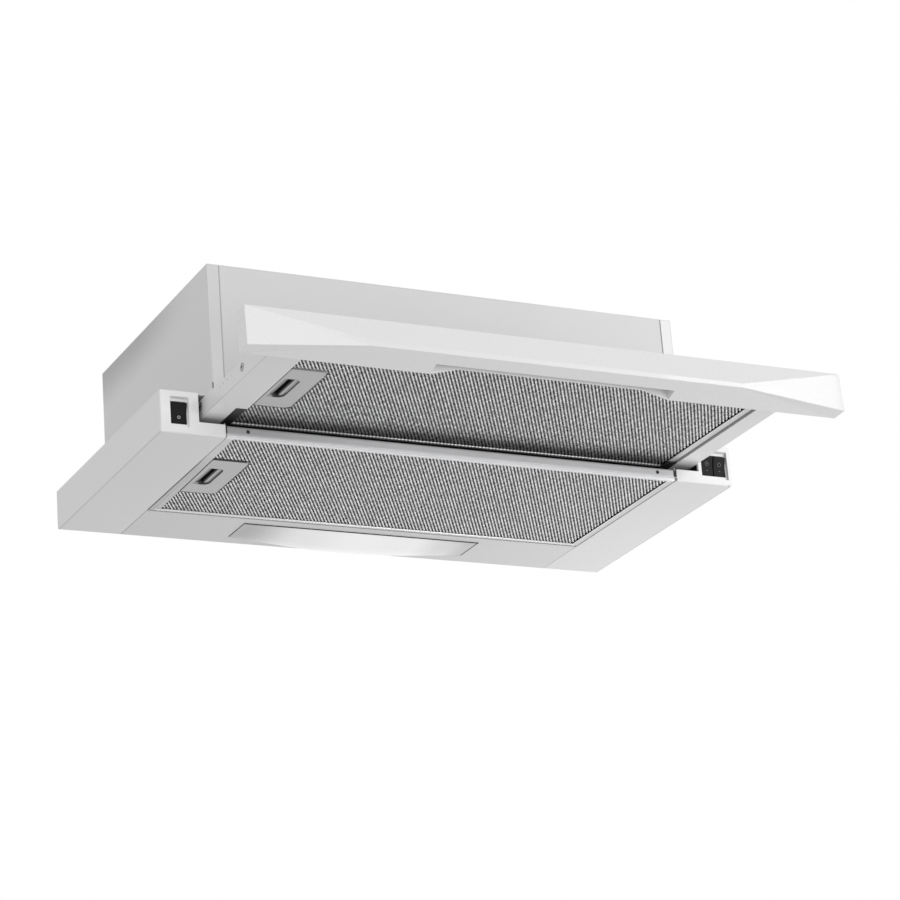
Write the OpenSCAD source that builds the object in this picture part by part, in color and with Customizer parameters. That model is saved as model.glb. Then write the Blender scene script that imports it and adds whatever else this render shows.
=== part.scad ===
/* [Base] */
// Width of the base and of the front strip
base_w = 598; // [590:1:620]
// Depth of the base from its front plane to its back
base_d = 283; // [278:1:296]
// Height of the base
base_h = 40; // [39.5:0.5:44]
// Thickness of the painted steel sheet
sheet = 0.8; // [0.6:0.1:1]
// Radius of the rounded lower rear edge
rear_round = 4; // [2:0.5:6]
// Height of the upstands beside the fixed filter
upstand_h = 14; // [12:0.5:15]
// Radius of each cabinet fixing hole
fix_hole_r = 2.5; // [2:0.1:3]
// Distance of the cabinet fixing holes from the base's sides
fix_inset = 25; // [19:1:34]
// Spacing of the cabinet fixing holes from front to back
fix_span_y = 200; // [150:5:220]

/* [Housing] */
// Width of the base beside the housing, on each side
wing_w = 51.75; // [50:0.25:54]
// Height of the housing above the base
housing_h = 130; // [129:1:150]
// Width of the folded flanges of the housing's sides
flange_w = 11.5; // [9:0.5:14]
// Height of the relief slit at the foot of each folded corner
slit_h = 7; // [4:1:10]

/* [Bezels] */
// Thickness of the bezel face
bezel_t = 3; // [2.5:0.1:4]
// Height of the bezel's bar below the drawer arm
bezel_bar_h = 11.7; // [10:0.1:13]
// Side gap between a drawer arm and its bezel
arm_way_gap = 4; // [2:0.5:5]
// Depth of the recess around the rockers
recess_d = 3; // [2.6:0.1:4]
// Height of the recess at the bezel's face
recess_h = 30; // [27:0.5:33]
// Slope of the recess walls, from the window out to the face
recess_slope = 1.6; // [1:0.2:3]

/* [Switches] */
// Width of the lamp rocker
lamp_rocker_w = 14.6; // [13:0.2:16]
// Width of each of the two fan rockers
fan_rocker_w = 12.7; // [12:0.1:13]
// Height of the rockers
rocker_h = 19.9; // [18:0.1:21]
// Angle between a rocker's two positions
rocker_swing = 14; // [10:1:16]
// Gap around a rocker in its window
rocker_gap = 0.8; // [0.6:0.1:1.2]
// Depth of a switch body behind its recess
switch_d = 17; // [14:0.5:20]

/* [Drawer] */
// Travel of the drawer from closed to fully out
pull_out = 184; // [170:1:190]
// Length of a drawer arm
arm_len = 275.5; // [262:0.5:276]
// Height of a drawer arm
arm_h = 17.5; // [17:0.5:18.5]
// Height of the arm's underside above the underside of the base
arm_lift = 17.5; // [16.5:0.5:18]
// Width of the arm's channel from its outer wall to its inner web
arm_channel_w = 21; // [20:0.5:22]
// Height of the arm's inner web
arm_web_h = 13; // [12:0.5:15]
// Gap left between strip and bezels when the drawer is closed
close_gap = 0.7; // [0.5:0.1:1.5]

/* [Front strip] */
// Height of the strip
strip_h = 38.6; // [36:0.2:39]
// Depth of the strip at its ends
strip_end_d = 17.7; // [15:0.1:20]
// Depth of the strip along the crease at mid height
strip_crease_d = 27.5; // [23:0.5:30]
// Width between the two ends of the crease
strip_crease_w = 370; // [300:5:420]
// Width of the finger recess under the strip
grip_w = 239; // [180:1:280]
// Depth of the finger recess from the strip's back
grip_d = 13.3; // [10:0.1:15]
// Height of the finger recess at the strip's back
grip_h = 7; // [5:0.5:8]
// Wall of the moulded strip
strip_wall = 2.6; // [2:0.1:3]

/* [Drawer slides] */
// Height of a ball slide
slide_h = 15; // [14:0.5:16]
// Width of a ball slide, outside of the housing's side
slide_w = 10; // [9.6:0.1:11]
// Thickness of a slide's members
slide_t = 1; // [0.8:0.1:1.2]
// Diameter of the balls
ball_d = 2.9; // [2.6:0.1:3]
// Balls in each row
ball_count = 6; // [4:1:7]
// Spacing of the balls
ball_pitch = 12; // [9:0.5:13]

/* [Grease filters] */
// Distance from the housing's side to the filter's side
filter_side_gap = 12.25; // [11.75:0.25:17]
// Thickness of each filter
filter_t = 9; // [8.6:0.1:9.4]
// Depth of the lamp panel behind the fixed filter
lamp_panel_d = 75.2; // [75.2:0.2:80]
// Length of the drawer filter from front to back
drawer_filter_len = 192; // [186:0.5:193]
// Thickness of the folded aluminium frame
frame_t = 0.6; // [0.5:0.1:0.8]
// Visible width of the frame along its sides
side_lip = 7.5; // [7:0.5:11]
// Visible width of the frame along its front
front_lip = 3.5; // [3:0.5:6]
// Visible width of the frame along its back
rear_lip = 4.5; // [3:0.5:7]
// Pitch of the expanded rows of the mesh
mesh_pitch = 3.7; // [3.6:0.1:6]
// Length of the handle plate
plate_len = 88; // [80:1:96]
// Width of the handle plate
plate_w = 38.5; // [37:0.5:44]
// Travel of the latch
latch_travel = 6; // [5.5:0.1:6.2]

/* [Lamp] */
// Width of the lamp lens
lens_w = 257; // [220:1:280]
// Depth of the lamp lens at its ends
lens_side_d = 43; // [38:0.5:46]
// Further depth of the lens at its middle
lens_rear_bow = 15; // [10:0.5:15.5]
// How far the lens bulges below the base
lens_sag = 5.5; // [3:0.5:8]
// Thickness of the lens
lens_t = 1.6; // [1.2:0.1:2.4]
// Radius of the lamp's glass
lamp_r = 10; // [8:0.5:11]

/* [Blower] */
// Outer radius of the impeller
impeller_r = 42; // [38:0.5:43]
// Width of the impeller
impeller_w = 80; // [70:1:82]
// Number of blades
blade_count = 28; // [18:1:32]
// Width of the scroll casing
scroll_w = 96; // [92:1:98]
// Wall of the scroll casing
scroll_wall = 2; // [1.6:0.1:2.4]
// Radius of the spiral where it starts at the tongue
tongue_r = 49; // [47:0.5:50]
// Radius of the spiral where it turns up into the outlet
outlet_r = 66; // [62:0.5:66]
// Radius of the motor
motor_r = 31; // [26:0.5:32]
// Length of the motor
motor_len = 56; // [44:1:64]
// Radius of the motor shaft
shaft_r = 4; // [3:0.5:5]

/* [Duct collar] */
// Outer radius of the duct collar
collar_r = 60; // [60:0.5:62]
// Height of the duct collar above the top panel
collar_h = 32; // [26:1:45]
// Wall of the duct collar
collar_wall = 2; // [1.6:0.1:2.5]

/* [Hidden] */
$fn = 48;

// Colours as the photograph shows them
paint = [0.84, 0.84, 0.84];
bezel_white = [0.95, 0.95, 0.95];
steel = [0.68, 0.69, 0.7];
aluminium = [0.72, 0.73, 0.74];
plate_grey = [0.66, 0.66, 0.66];
black = [0.06, 0.06, 0.06];

// One overrun serves all cuts
cut = 1;
// Gap between parts that lie beside each other
seat_gap = 0.2;
// Gap between a running part and its way
run_gap = 0.1;
// Gap between a pin and its bore
pin_gap = 0.05;

// Planes of the base, whose top face is the zero plane
half_w = base_w / 2;
housing_w = base_w - wing_w * 2;
filter_w = housing_w - filter_side_gap * 2;
fix_span_x = base_w - fix_inset * 2;
front_y = -base_d / 2;
back_y = base_d / 2;
floor_z = -base_h;
// Faces of the housing and of the bay that holds the fixed filter
house_x = housing_w / 2;
filter_x = filter_w / 2;
bay_gap = 0.7;
bay_x = filter_x + bay_gap;
bay_out = bay_x + sheet;
flange_z = -2;
lip_w = 10;
// Outer wall, web and rest place of the drawer arms
arm_x = house_x + slide_w + sheet;
web_x = arm_x - arm_channel_w;
arm_z = floor_z + arm_lift;
strip_back_y = front_y - pull_out - close_gap;
arm_rear_y = strip_back_y + arm_len;
// Opening beside the arm in each bezel
way_x = arm_x + arm_way_gap;
bezel_in = bay_out + seat_gap;

// A block between its low and its high corner
module block(low, high) {
    translate(low) cube(high - low);
}

// The right hand shape, or its mirror image on the left
module hand(side) {
    if (side > 0) children();
    else mirror([1, 0, 0]) children();
}

// A profile drawn in Y and Z, run along X
module along_x(x0, x1) {
    translate([x0, 0, 0]) rotate([90, 0, 90]) linear_extrude(x1 - x0) children();
}

// A profile drawn in X and Z, run along Y
module along_y(y0, y1) {
    translate([0, y1, 0]) rotate([90, 0, 0]) linear_extrude(y1 - y0) children();
}

// A round bar or bore along X
module bar_x(x0, x1, r) {
    translate([x0, 0, 0]) rotate([0, 90, 0]) cylinder(h = x1 - x0, r = r);
}

// A rectangle whose lower rear corner is rounded
module base_profile(low, high, r) {
    translate(low) square([high.x - low.x - r, high.y - low.y]);
    translate([low.x, low.y + r]) square([high.x - low.x, high.y - low.y - r]);
    translate([high.x - r, low.y + r]) circle(r);
}

// Base: two side channels, the lamp panel between them and a bar across the front
bezel_back_y = front_y + bezel_t;
fixed_filter_y = front_y + 1.8;
drawer_rail_d = 8;
filter_end_gap = 0.7;
drawer_filter_y = strip_back_y + drawer_rail_d + filter_end_gap;
drawer_filter_lift = 19;
drawer_filter_z = floor_z + drawer_filter_lift;
panel_front_gap = 3;
lamp_panel_y = back_y - lamp_panel_d;
fixed_filter_len = lamp_panel_y - panel_front_gap - fixed_filter_y;

// Heights of a latch above the underside of its filter
latch_z = 5.3;
latch_t = 1.5;
slot_gap = 0.3;
bolt_w = 16;
bolt_clear = 1;
bolt_reach = latch_travel - bolt_clear;
tab_w = 14;
tab_share = 0.3;

// A slot for a bolt or tab through a wall between two places in X
module catch_slot(x0, x1, y, z, w) {
    block([x0 - cut, y - w / 2 - slot_gap, z + latch_z - slot_gap],
          [x1 + cut, y + w / 2 + slot_gap, z + latch_z + latch_t + slot_gap]);
}

// Slots for a filter at y to y + len: one bolt on the left, two tabs on the right
module catch_slots(side, x0, x1, y, len, z) {
    if (side < 0) {
        catch_slot(x0, x1, y + len / 2, z, bolt_w);
    } else {
        for (end = [-1, 1]) {
            catch_slot(x0, x1, y + len / 2 + end * len * tab_share, z, tab_w);
        }
    }
}

module base_side(side) {
    color(paint) hand(side) difference() {
        along_x(bay_x, half_w)
            base_profile([bezel_back_y, floor_z], [back_y, 0], rear_round);
        along_x(bay_out, half_w - sheet)
            base_profile([front_y, floor_z + sheet], [back_y - sheet, -sheet], rear_round - sheet);
        block([bay_x - cut, front_y, floor_z + upstand_h], [house_x, back_y - sheet, cut]);
        block([bay_x - cut, front_y, -sheet], [house_x, back_y + cut, cut]);
        for (end = [-1, 1]) {
            translate([fix_span_x / 2, end * fix_span_y / 2, -sheet - cut])
                cylinder(h = sheet + cut * 2, r = fix_hole_r);
        }
        catch_slots(side, bay_x, bay_out, fixed_filter_y, fixed_filter_len, floor_z);
    }
}

module lamp_panel() {
    color(paint) difference() {
        along_x(seat_gap - bay_x, bay_x - seat_gap)
            base_profile([lamp_panel_y, floor_z], [back_y, 0], rear_round);
        along_x(-bay_x, bay_x) base_profile([lamp_panel_y + sheet, floor_z + sheet],
                                            [back_y - sheet, cut], rear_round - sheet);
        block([-bay_x, lamp_panel_y - cut, floor_z + upstand_h],
              [bay_x, back_y - sheet * 2, cut]);
        translate([0, 0, floor_z - cut]) linear_extrude(sheet + cut * 2) lens_plan(seat_gap);
    }
}

bar_t = 1.2;
bar_h = 7.4;
bar_lift = 3;
bar_flange = 9;
bar_hole_r = 1.1;
bar_hole_inset = 21;

module crossbar() {
    z = floor_z + bar_lift;
    color(steel) difference() {
        union() {
            block([seat_gap - bezel_in, front_y, z], [bezel_in - seat_gap, front_y + bar_t, z + bar_h]);
            block([-bay_x, front_y, z + bar_h - sheet], [bay_x, front_y + bar_flange, z + bar_h]);
        }
        for (side = [-1, 1]) {
            translate([side * (bay_x - bar_hole_inset), front_y + bar_t + cut, z + bar_h / 2])
                rotate([90, 0, 0]) cylinder(h = bar_t + cut * 2, r = bar_hole_r);
        }
    }
}

// Housing: two sides with folded flanges, a front, a back and a top
slide_z = floor_z + 29;
tongue_z = slide_z - slide_h / 2;
tongue_rear_y = back_y - sheet - seat_gap;
slit_lift = 5;
screw_r = 1.5;
panel_screw_inset = 6;
panel_screw_share = 0.39;
panel_screw_y = base_d * panel_screw_share;
panel_z = housing_h - sheet;

module side_panel(side) {
    color(paint) hand(side) difference() {
        union() {
            block([house_x - sheet, front_y, 0], [house_x, back_y, panel_z]);
            block([house_x - sheet, front_y, flange_z], [house_x, tongue_rear_y, 0]);
            block([house_x - sheet, bezel_back_y, tongue_z], [house_x, tongue_rear_y, flange_z]);
            block([house_x - flange_w, front_y, flange_z], [house_x, front_y + sheet, panel_z]);
            block([house_x - flange_w, back_y - sheet, 0], [house_x, back_y, panel_z]);
            block([house_x - flange_w, front_y, panel_z - sheet], [house_x, back_y, panel_z]);
        }
        block([house_x - sheet - slot_gap, front_y - cut, slit_lift],
              [house_x + cut, front_y + sheet + cut, slit_lift + slit_h]);
        for (end = [-1, 1]) {
            translate([house_x - panel_screw_inset, end * panel_screw_y, panel_z - sheet - cut])
                cylinder(h = sheet + cut * 2, r = screw_r + run_gap);
        }
    }
}

module front_panel() {
    x = house_x - flange_w - seat_gap;
    color(paint) {
        block([-x, front_y, flange_z], [x, front_y + sheet, panel_z]);
        block([-x, front_y, flange_z], [x, front_y + lip_w, flange_z + sheet]);
        block([-x, front_y, panel_z - sheet], [x, front_y + lip_w, panel_z]);
        for (side = [-1, 1]) {
            hand(side) block([x - sheet, front_y, flange_z], [x, front_y + lip_w, panel_z]);
        }
    }
}

module back_panel() {
    x = house_x - flange_w - seat_gap;
    color(paint) {
        block([-x, back_y - sheet, 0], [x, back_y, panel_z]);
        block([-x, back_y - lip_w, panel_z - sheet], [x, back_y, panel_z]);
        for (side = [-1, 1]) {
            hand(side) block([x - sheet, back_y - lip_w, 0], [x, back_y, panel_z]);
        }
    }
}

// Duct collar on the top, with its ledge and pivots for two flaps
duct_y = 8.5;
collar_in = collar_r - collar_wall;
collar_flange = 15;
collar_flange_t = 2;
collar_hole_gap = 3;
collar_screw_r = collar_r + collar_flange / 2;
ledge_w = 2.5;
ledge_t = 1.5;
ledge_z = housing_h + 7;
flap_t = 1.2;
flap_z = ledge_z + ledge_t;
flap_gap = 1.2;
pivot_r = 1.5;
pivot_z = flap_z + flap_t / 2;
barrel_r = 2;
pivot_y = barrel_r + flap_gap / 2;
pin_end_share = 0.35;
gland_x = 125;
gland_y = 90;
gland_r = 8;

module at_collar_screws() {
    for (turn = [45 : 90 : 315]) {
        translate([0, duct_y, 0]) rotate([0, 0, turn]) translate([collar_screw_r, 0, 0]) children();
    }
}

module top_panel() {
    color(paint) difference() {
        block([-house_x, front_y, panel_z], [house_x, back_y, housing_h]);
        translate([0, duct_y, panel_z - cut])
            cylinder(h = sheet + cut * 2, r = collar_in - collar_hole_gap);
        at_collar_screws() translate([0, 0, panel_z - cut])
            cylinder(h = sheet + cut * 2, r = screw_r + run_gap);
        translate([gland_x, gland_y, panel_z - cut]) cylinder(h = sheet + cut * 2, r = gland_r);
        for (side = [-1, 1], end = [-1, 1]) {
            translate([side * (house_x - panel_screw_inset), end * panel_screw_y, panel_z - cut])
                cylinder(h = sheet + cut * 2, r = screw_r + run_gap);
        }
    }
}

module duct_collar() {
    color(black) difference() {
        union() {
            translate([0, duct_y, housing_h]) {
                cylinder(h = collar_flange_t, r = collar_r + collar_flange, $fn = 96);
                cylinder(h = collar_h, r = collar_r, $fn = 96);
            }
        }
        translate([0, duct_y, ledge_z + ledge_t])
            cylinder(h = collar_h, r = collar_in, $fn = 96);
        translate([0, duct_y, housing_h - cut])
            cylinder(h = collar_h, r = collar_in - ledge_w, $fn = 96);
        translate([0, duct_y, housing_h - cut])
            cylinder(h = ledge_z - housing_h + cut, r = collar_in, $fn = 96);
        block([-collar_in, duct_y - pivot_y - barrel_r * 2, ledge_z - cut],
              [collar_in, duct_y + pivot_y + barrel_r * 2, flap_z + cut]);
        for (end = [-1, 1]) {
            translate([0, duct_y + end * pivot_y, pivot_z])
                bar_x(-collar_r - cut, collar_r + cut, pivot_r + pin_gap);
        }
        at_collar_screws() translate([0, 0, housing_h - cut])
            cylinder(h = collar_flange_t + cut * 2, r = screw_r + run_gap);
    }
}

// One half of the non-return flap, with its barrel and its two pins
module flap(end) {
    flap_r = collar_in - seat_gap * 3;
    pin_end = collar_wall * pin_end_share;
    color(plate_grey) translate([0, duct_y, 0]) {
        intersection() {
            translate([0, 0, flap_z]) cylinder(h = flap_t, r = flap_r, $fn = 96);
            translate([0, end * (flap_r + pivot_y), flap_z])
                cube([flap_r, flap_r, flap_t * 2] * 2, center = true);
        }
        translate([0, end * pivot_y, pivot_z]) {
            bar_x(ledge_w * 2 - flap_r, flap_r - ledge_w * 2, barrel_r);
            bar_x(pin_end - collar_r, collar_r - pin_end, pivot_r);
        }
    }
}

// Screws with a flat pan head, pointing down
screw_head_r = 3;
screw_head_t = 1.6;

module screw(length) {
    translate([0, 0, -length]) cylinder(h = length, r = screw_r);
    cylinder(h = screw_head_t, r = screw_head_r);
}

module collar_screws() {
    color(steel) at_collar_screws() translate([0, 0, housing_h + collar_flange_t])
        screw(collar_flange_t + sheet + scroll_flange_t);
}

panel_screw_len = 3.2;

module panel_screws() {
    color(steel) for (side = [-1, 1], end = [-1, 1]) {
        translate([side * (house_x - panel_screw_inset), end * panel_screw_y, housing_h])
            screw(panel_screw_len);
    }
}

// Bezels with their recessed rocker windows
window_h = rocker_h + rocker_gap * 2;
lamp_window_w = lamp_rocker_w + rocker_gap;
mid_wall = 1;
recess_foot_share = 0.25;
fan_pivot_x = (mid_wall + fan_rocker_w) / 2 + seat_gap;
fan_window_w = fan_pivot_x * 2 + fan_rocker_w + rocker_gap;
rocker_x = (way_x + half_w) / 2;
rocker_z = floor_z / 2;
tray_t = 1.5;
recess_y = front_y + recess_d;
tray_y = recess_y + tray_t;
recess_out = (recess_h - window_h) / 2;
recess_foot = recess_slope * recess_foot_share;

// A pyramid cut that narrows from the face to the window
module recess_cut(w) {
    intersection() {
        along_x(-w, w) polygon([
            [front_y - cut, -recess_h / 2], [front_y - cut, recess_h / 2],
            [recess_y, recess_h / 2 - recess_slope], [recess_y, recess_slope - recess_h / 2]
        ]);
        translate([0, 0, -recess_h]) linear_extrude(recess_h * 2) polygon([
            [-w / 2 - recess_slope, front_y - cut], [w / 2 + recess_slope, front_y - cut],
            [w / 2 + recess_foot, recess_y], [-w / 2 - recess_foot, recess_y]
        ]);
    }
}

module bezel(side, w) {
    color(bezel_white) hand(side) difference() {
        union() {
            block([bezel_in, front_y, floor_z], [half_w, bezel_back_y, floor_z + bezel_bar_h]);
            block([way_x, front_y, floor_z], [half_w, bezel_back_y, 0]);
            block([way_x + sheet, front_y, floor_z + sheet * 2],
                  [half_w - sheet * 2, tray_y, -sheet * 2]);
        }
        translate([rocker_x, 0, rocker_z]) {
            recess_cut(w);
            block([-w / 2, recess_y - cut, -window_h / 2], [w / 2, tray_y + cut, window_h / 2]);
        }
    }
}

// Rocker switches: a body with bearings, and a rocker with two pins
pivot_depth = 4.5;
switch_wall = 1.4;
switch_pin_r = 1.2;
pin_reach = 0.6;
rocker_rise = 1.4;
rocker_back = 2;
rocker_pivot_y = recess_y + pivot_depth;

module switch_shell(w, pivots) {
    out = w / 2 + switch_wall;
    high = window_h / 2 + switch_wall;
    difference() {
        block([-out, tray_y, -high], [out, tray_y + switch_d, high]);
        for (at = pivots) {
            block([at.x - at.y / 2 - seat_gap, tray_y - cut, -window_h / 2],
                  [at.x + at.y / 2 + seat_gap, tray_y + switch_d - switch_wall * 2, window_h / 2]);
            translate([at.x, rocker_pivot_y, 0])
                bar_x(-at.y / 2 - pin_reach - seat_gap * 2, at.y / 2 + pin_reach + seat_gap * 2,
                      switch_pin_r + pin_gap);
        }
    }
}

module lamp_switch_body() {
    color(black) translate([-rocker_x, 0, rocker_z])
        switch_shell(lamp_window_w, [[0, lamp_rocker_w]]);
}

module fan_switch_body() {
    color(black) translate([rocker_x, 0, rocker_z])
        switch_shell(fan_window_w, [[-fan_pivot_x, fan_rocker_w], [fan_pivot_x, fan_rocker_w]]);
}

terminal_w = 4.8;
terminal_len = 8;
terminal_share = 0.25;

module switch_terminals() {
    y = tray_y + switch_d;
    places = [-rocker_x, rocker_x - fan_pivot_x, rocker_x + fan_pivot_x];
    color("goldenrod") for (x = places, row = [-1, 1]) {
        translate([0, 0, rocker_z + row * rocker_h * terminal_share])
            block([x - terminal_w / 2, y, -sheet / 2], [x + terminal_w / 2, y + terminal_len, sheet / 2]);
    }
}

// A rocker at its pivot, pressed at its lower end at rest
module rocker(x, w) {
    color(black) translate([x, rocker_pivot_y, rocker_z]) rotate([rocker_swing / 2, 0, 0]) {
        along_x(-w / 2, w / 2) polygon([
            [-pivot_depth, 0], [-pivot_depth - rocker_rise, rocker_h / 2],
            [-pivot_depth + rocker_rise, rocker_h / 2], [rocker_back, rocker_back],
            [rocker_back, -rocker_back], [-pivot_depth + rocker_rise, -rocker_h / 2],
            [-pivot_depth - rocker_rise, -rocker_h / 2]
        ]);
        bar_x(-w / 2 - pin_reach, w / 2 + pin_reach, switch_pin_r);
    }
}

// Drawer arms: channels open at the top, which hold the moving slide members
screw_steps = [30, 90.7, 190];

// The left arm's floor runs on inwards as a ledge under the latch side of the filter
pad_in = 10.5;
ledge_pad_len = 43.5;
ledge_rear_y = drawer_filter_y + drawer_filter_len - ledge_pad_len;

module at_slide_screws() {
    for (step = screw_steps) {
        translate([arm_x, strip_back_y + step, slide_z]) rotate([0, 90, 0]) children();
    }
}

module arm(side) {
    color(paint) hand(side) difference() {
        union() {
            block([web_x, strip_back_y, arm_z], [arm_x, arm_rear_y, arm_z + arm_h]);
            if (side < 0) block([web_x - pad_in, strip_back_y + drawer_rail_d + seat_gap, arm_z],
                                [web_x, ledge_rear_y, arm_z + sheet]);
        }
        block([web_x + sheet, strip_back_y - cut, arm_z + sheet],
              [arm_x - sheet, arm_rear_y + cut, arm_z + arm_h + cut]);
        block([web_x - cut, strip_back_y - cut, arm_z + arm_web_h],
              [arm_x - sheet, arm_rear_y + cut, arm_z + arm_h + cut]);
        at_slide_screws() translate([0, 0, -sheet - cut])
            cylinder(h = sheet + cut * 2, r = screw_r + run_gap);
        catch_slots(side, web_x, web_x + sheet, drawer_filter_y, drawer_filter_len, drawer_filter_z);
    }
}

module drawer_front_rail() {
    color(paint) difference() {
        block([-web_x, strip_back_y, arm_z], [web_x, strip_back_y + drawer_rail_d, arm_z + arm_h]);
        block([-web_x - cut, strip_back_y + sheet, arm_z + sheet],
              [web_x + cut, strip_back_y + drawer_rail_d + cut, arm_z + arm_h - sheet]);
    }
}

rear_rail_d = 6;

module drawer_rear_rail() {
    y = drawer_filter_y + drawer_filter_len + filter_end_gap;
    color(steel) difference() {
        block([-web_x, y, arm_z + sheet * 2], [web_x, y + rear_rail_d, arm_z + arm_web_h]);
        block([-web_x - cut, y + sheet, arm_z + sheet * 3],
              [web_x + cut, y + rear_rail_d + cut, arm_z + arm_web_h - sheet]);
    }
}

// Front strip: a faceted moulding with a crease that stops short of its ends
strip_lift = 2;
strip_z = floor_z + strip_lift;
crease_z = 8.4;
crease_h = 4.4;
end_front_z = 0.9;
top_d_share = 0.88;

function strip_corner(side, x, d, z) = [side * x, strip_back_y - d, strip_z + z];

function strip_end(side) = [
    strip_corner(side, half_w, 0, 0),
    strip_corner(side, half_w, strip_end_d, end_front_z),
    strip_corner(side, half_w, strip_end_d * top_d_share, strip_h),
    strip_corner(side, half_w, 0, strip_h),
    strip_corner(side, strip_crease_w / 2, strip_crease_d, crease_z),
    strip_corner(side, strip_crease_w / 2, strip_crease_d, crease_z + crease_h)
];

module strip_body() {
    polyhedron(concat(strip_end(-1), strip_end(1)), [
        [0, 3, 2], [0, 2, 1], [6, 7, 8], [6, 8, 9],
        [2, 5, 4], [2, 4, 1], [8, 7, 10], [8, 10, 11],
        [2, 8, 11], [2, 11, 5], [5, 11, 10], [5, 10, 4],
        [0, 1, 4], [6, 10, 7], [0, 4, 10], [0, 10, 6],
        [0, 6, 9], [0, 9, 3], [3, 9, 8], [3, 8, 2]
    ]);
}

rib_pitch = 58;
rib_count = floor((base_w - strip_wall * 2) / rib_pitch / 2);
grip_ramp = 27;
grip_lip = 1.5;

// Pockets between the ribs in the back of the moulding
module strip_pockets() {
    z0 = strip_z + crease_z + crease_h;
    z1 = strip_z + strip_h - strip_wall;
    for (i = [-rib_count : rib_count]) {
        x0 = i * rib_pitch - rib_pitch / 2 + strip_wall / 2;
        x1 = i * rib_pitch + rib_pitch / 2 - strip_wall / 2;
        if (x0 > -half_w + strip_wall && x1 < half_w - strip_wall) {
            block([x0, strip_back_y - strip_end_d * top_d_share + strip_wall, z0],
                  [x1, strip_back_y + cut, z1]);
        }
    }
}

// The finger recess slopes up to the back, behind a lip with an arched edge
module finger_grip() {
    x = grip_w / 2;
    difference() {
        along_x(-x, x) polygon([
            [strip_back_y - grip_d, strip_z - cut], [strip_back_y - grip_d, strip_z + crease_h],
            [strip_back_y + cut, strip_z + grip_h + crease_h], [strip_back_y + cut, strip_z - cut]
        ]);
        along_y(strip_back_y - grip_lip, strip_back_y + cut * 2) polygon([
            [-x - cut, strip_z], [-x, strip_z], [-x + grip_ramp, strip_z + grip_h],
            [x - grip_ramp, strip_z + grip_h], [x, strip_z], [x + cut, strip_z],
            [x + cut, strip_z + strip_h], [-x - cut, strip_z + strip_h]
        ]);
    }
}

module front_strip() {
    color(bezel_white) difference() {
        strip_body();
        strip_pockets();
        finger_grip();
    }
}

// Pads on the drawer's rear corners that carry the back of its filter
pad_h = 1.3;
right_pad_len = 24;

module filter_pads() {
    y = drawer_filter_y + drawer_filter_len + filter_end_gap + rear_rail_d;
    z = arm_z + sheet * 2;
    color(black) for (side = [-1, 1]) {
        y0 = side < 0 ? ledge_rear_y + seat_gap : y - right_pad_len;
        hand(side) block([web_x - pad_in, y0, z - pad_h], [web_x, y, z - run_gap]);
        hand(side) block([web_x - pad_in, y - rear_rail_d, z - pad_h], [web_x, y, z]);
    }
}

// Ball slides: a fixed channel, a moving channel and a cage of balls between them
slide_front_y = front_y + 5;
slide_rear_y = back_y - 6;
ball_gap = 0.15;
fixed_in = slide_h / 2 - slide_t;
moving_out = fixed_in - ball_d - ball_gap * 2;
ball_rise = (fixed_in + moving_out) / 2;
cage_t = 0.6;
cage_x = house_x + slide_t + seat_gap * 3;
moving_x = cage_x + cage_t + seat_gap * 2;
moving_front_y = strip_back_y + 20;
cage_len = ball_pitch * (ball_count - 1) + ball_d * 3;
cage_mid_y = (slide_front_y + arm_rear_y) / 2;
ball_x = (moving_x + arm_x - sheet) / 2;

module slide_fixed(side) {
    color(steel) hand(side) difference() {
        block([house_x, slide_front_y, tongue_z],
              [arm_x - sheet - slide_t, slide_rear_y, slide_z + slide_h / 2]);
        block([house_x + slide_t, slide_front_y - cut, slide_z - fixed_in],
              [arm_x, slide_rear_y + cut, slide_z + fixed_in]);
    }
}

module slide_moving(side) {
    color(steel) hand(side) difference() {
        block([moving_x, moving_front_y, slide_z - moving_out],
              [arm_x - sheet, arm_rear_y, slide_z + moving_out]);
        block([moving_x - cut, moving_front_y - cut, slide_z - moving_out + slide_t],
              [arm_x - sheet - slide_t, arm_rear_y + cut, slide_z + moving_out - slide_t]);
        at_slide_screws() translate([0, 0, -sheet - slide_t - cut])
            cylinder(h = slide_t + cut * 2, r = screw_r + run_gap);
    }
}

module ball_cage(side) {
    y0 = cage_mid_y - cage_len / 2;
    y1 = cage_mid_y + cage_len / 2;
    color("goldenrod") hand(side) {
        block([cage_x, y0, slide_z - ball_rise], [cage_x + cage_t, y1, slide_z + ball_rise]);
        for (row = [-1, 1]) {
            translate([0, 0, slide_z + row * ball_rise])
                block([cage_x, y0, -cage_t / 2], [ball_x + ball_d / 2 + cage_t, y1, cage_t / 2]);
            for (i = [0 : ball_count - 1]) {
                translate([ball_x, cage_mid_y + (i - (ball_count - 1) / 2) * ball_pitch,
                           slide_z + row * ball_rise])
                    sphere(d = ball_d, $fn = 24);
            }
        }
    }
}

module slide_screws() {
    color(steel) for (side = [-1, 1]) {
        hand(side) at_slide_screws() screw(sheet + slide_t);
    }
}

// Grease filters: a folded frame, a mesh pad, and a handle plate with a sprung latch
pad_gap = 0.2;
ridge_h = 0.9;
ridge_rise = 0.3;
plate_t = 0.8;
tray_h = 8;
latch_hole_w = 17.5;
latch_hole_len = 43.5;
latch_hole_inset = 12.5;
latch_hole_r = 6;
scoop_w = 9.3;
scoop_h = 3.8;
tab_t = 6;
tab_edge = 2;
guide_w = 5;
slider_w = 52;
latch_plate_len = 31.6;
tab_gap = 1.2;
tab_inset = 3.5;

// The filter's own places in X: the window, the plate and the hole in it
window_x = filter_x - side_lip;
hole_x0 = latch_hole_inset - filter_x;
hole_x1 = hole_x0 + latch_hole_w;
latch_rear_x = hole_x1 + tab_inset;
latch_front_x = latch_rear_x - latch_plate_len;

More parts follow.
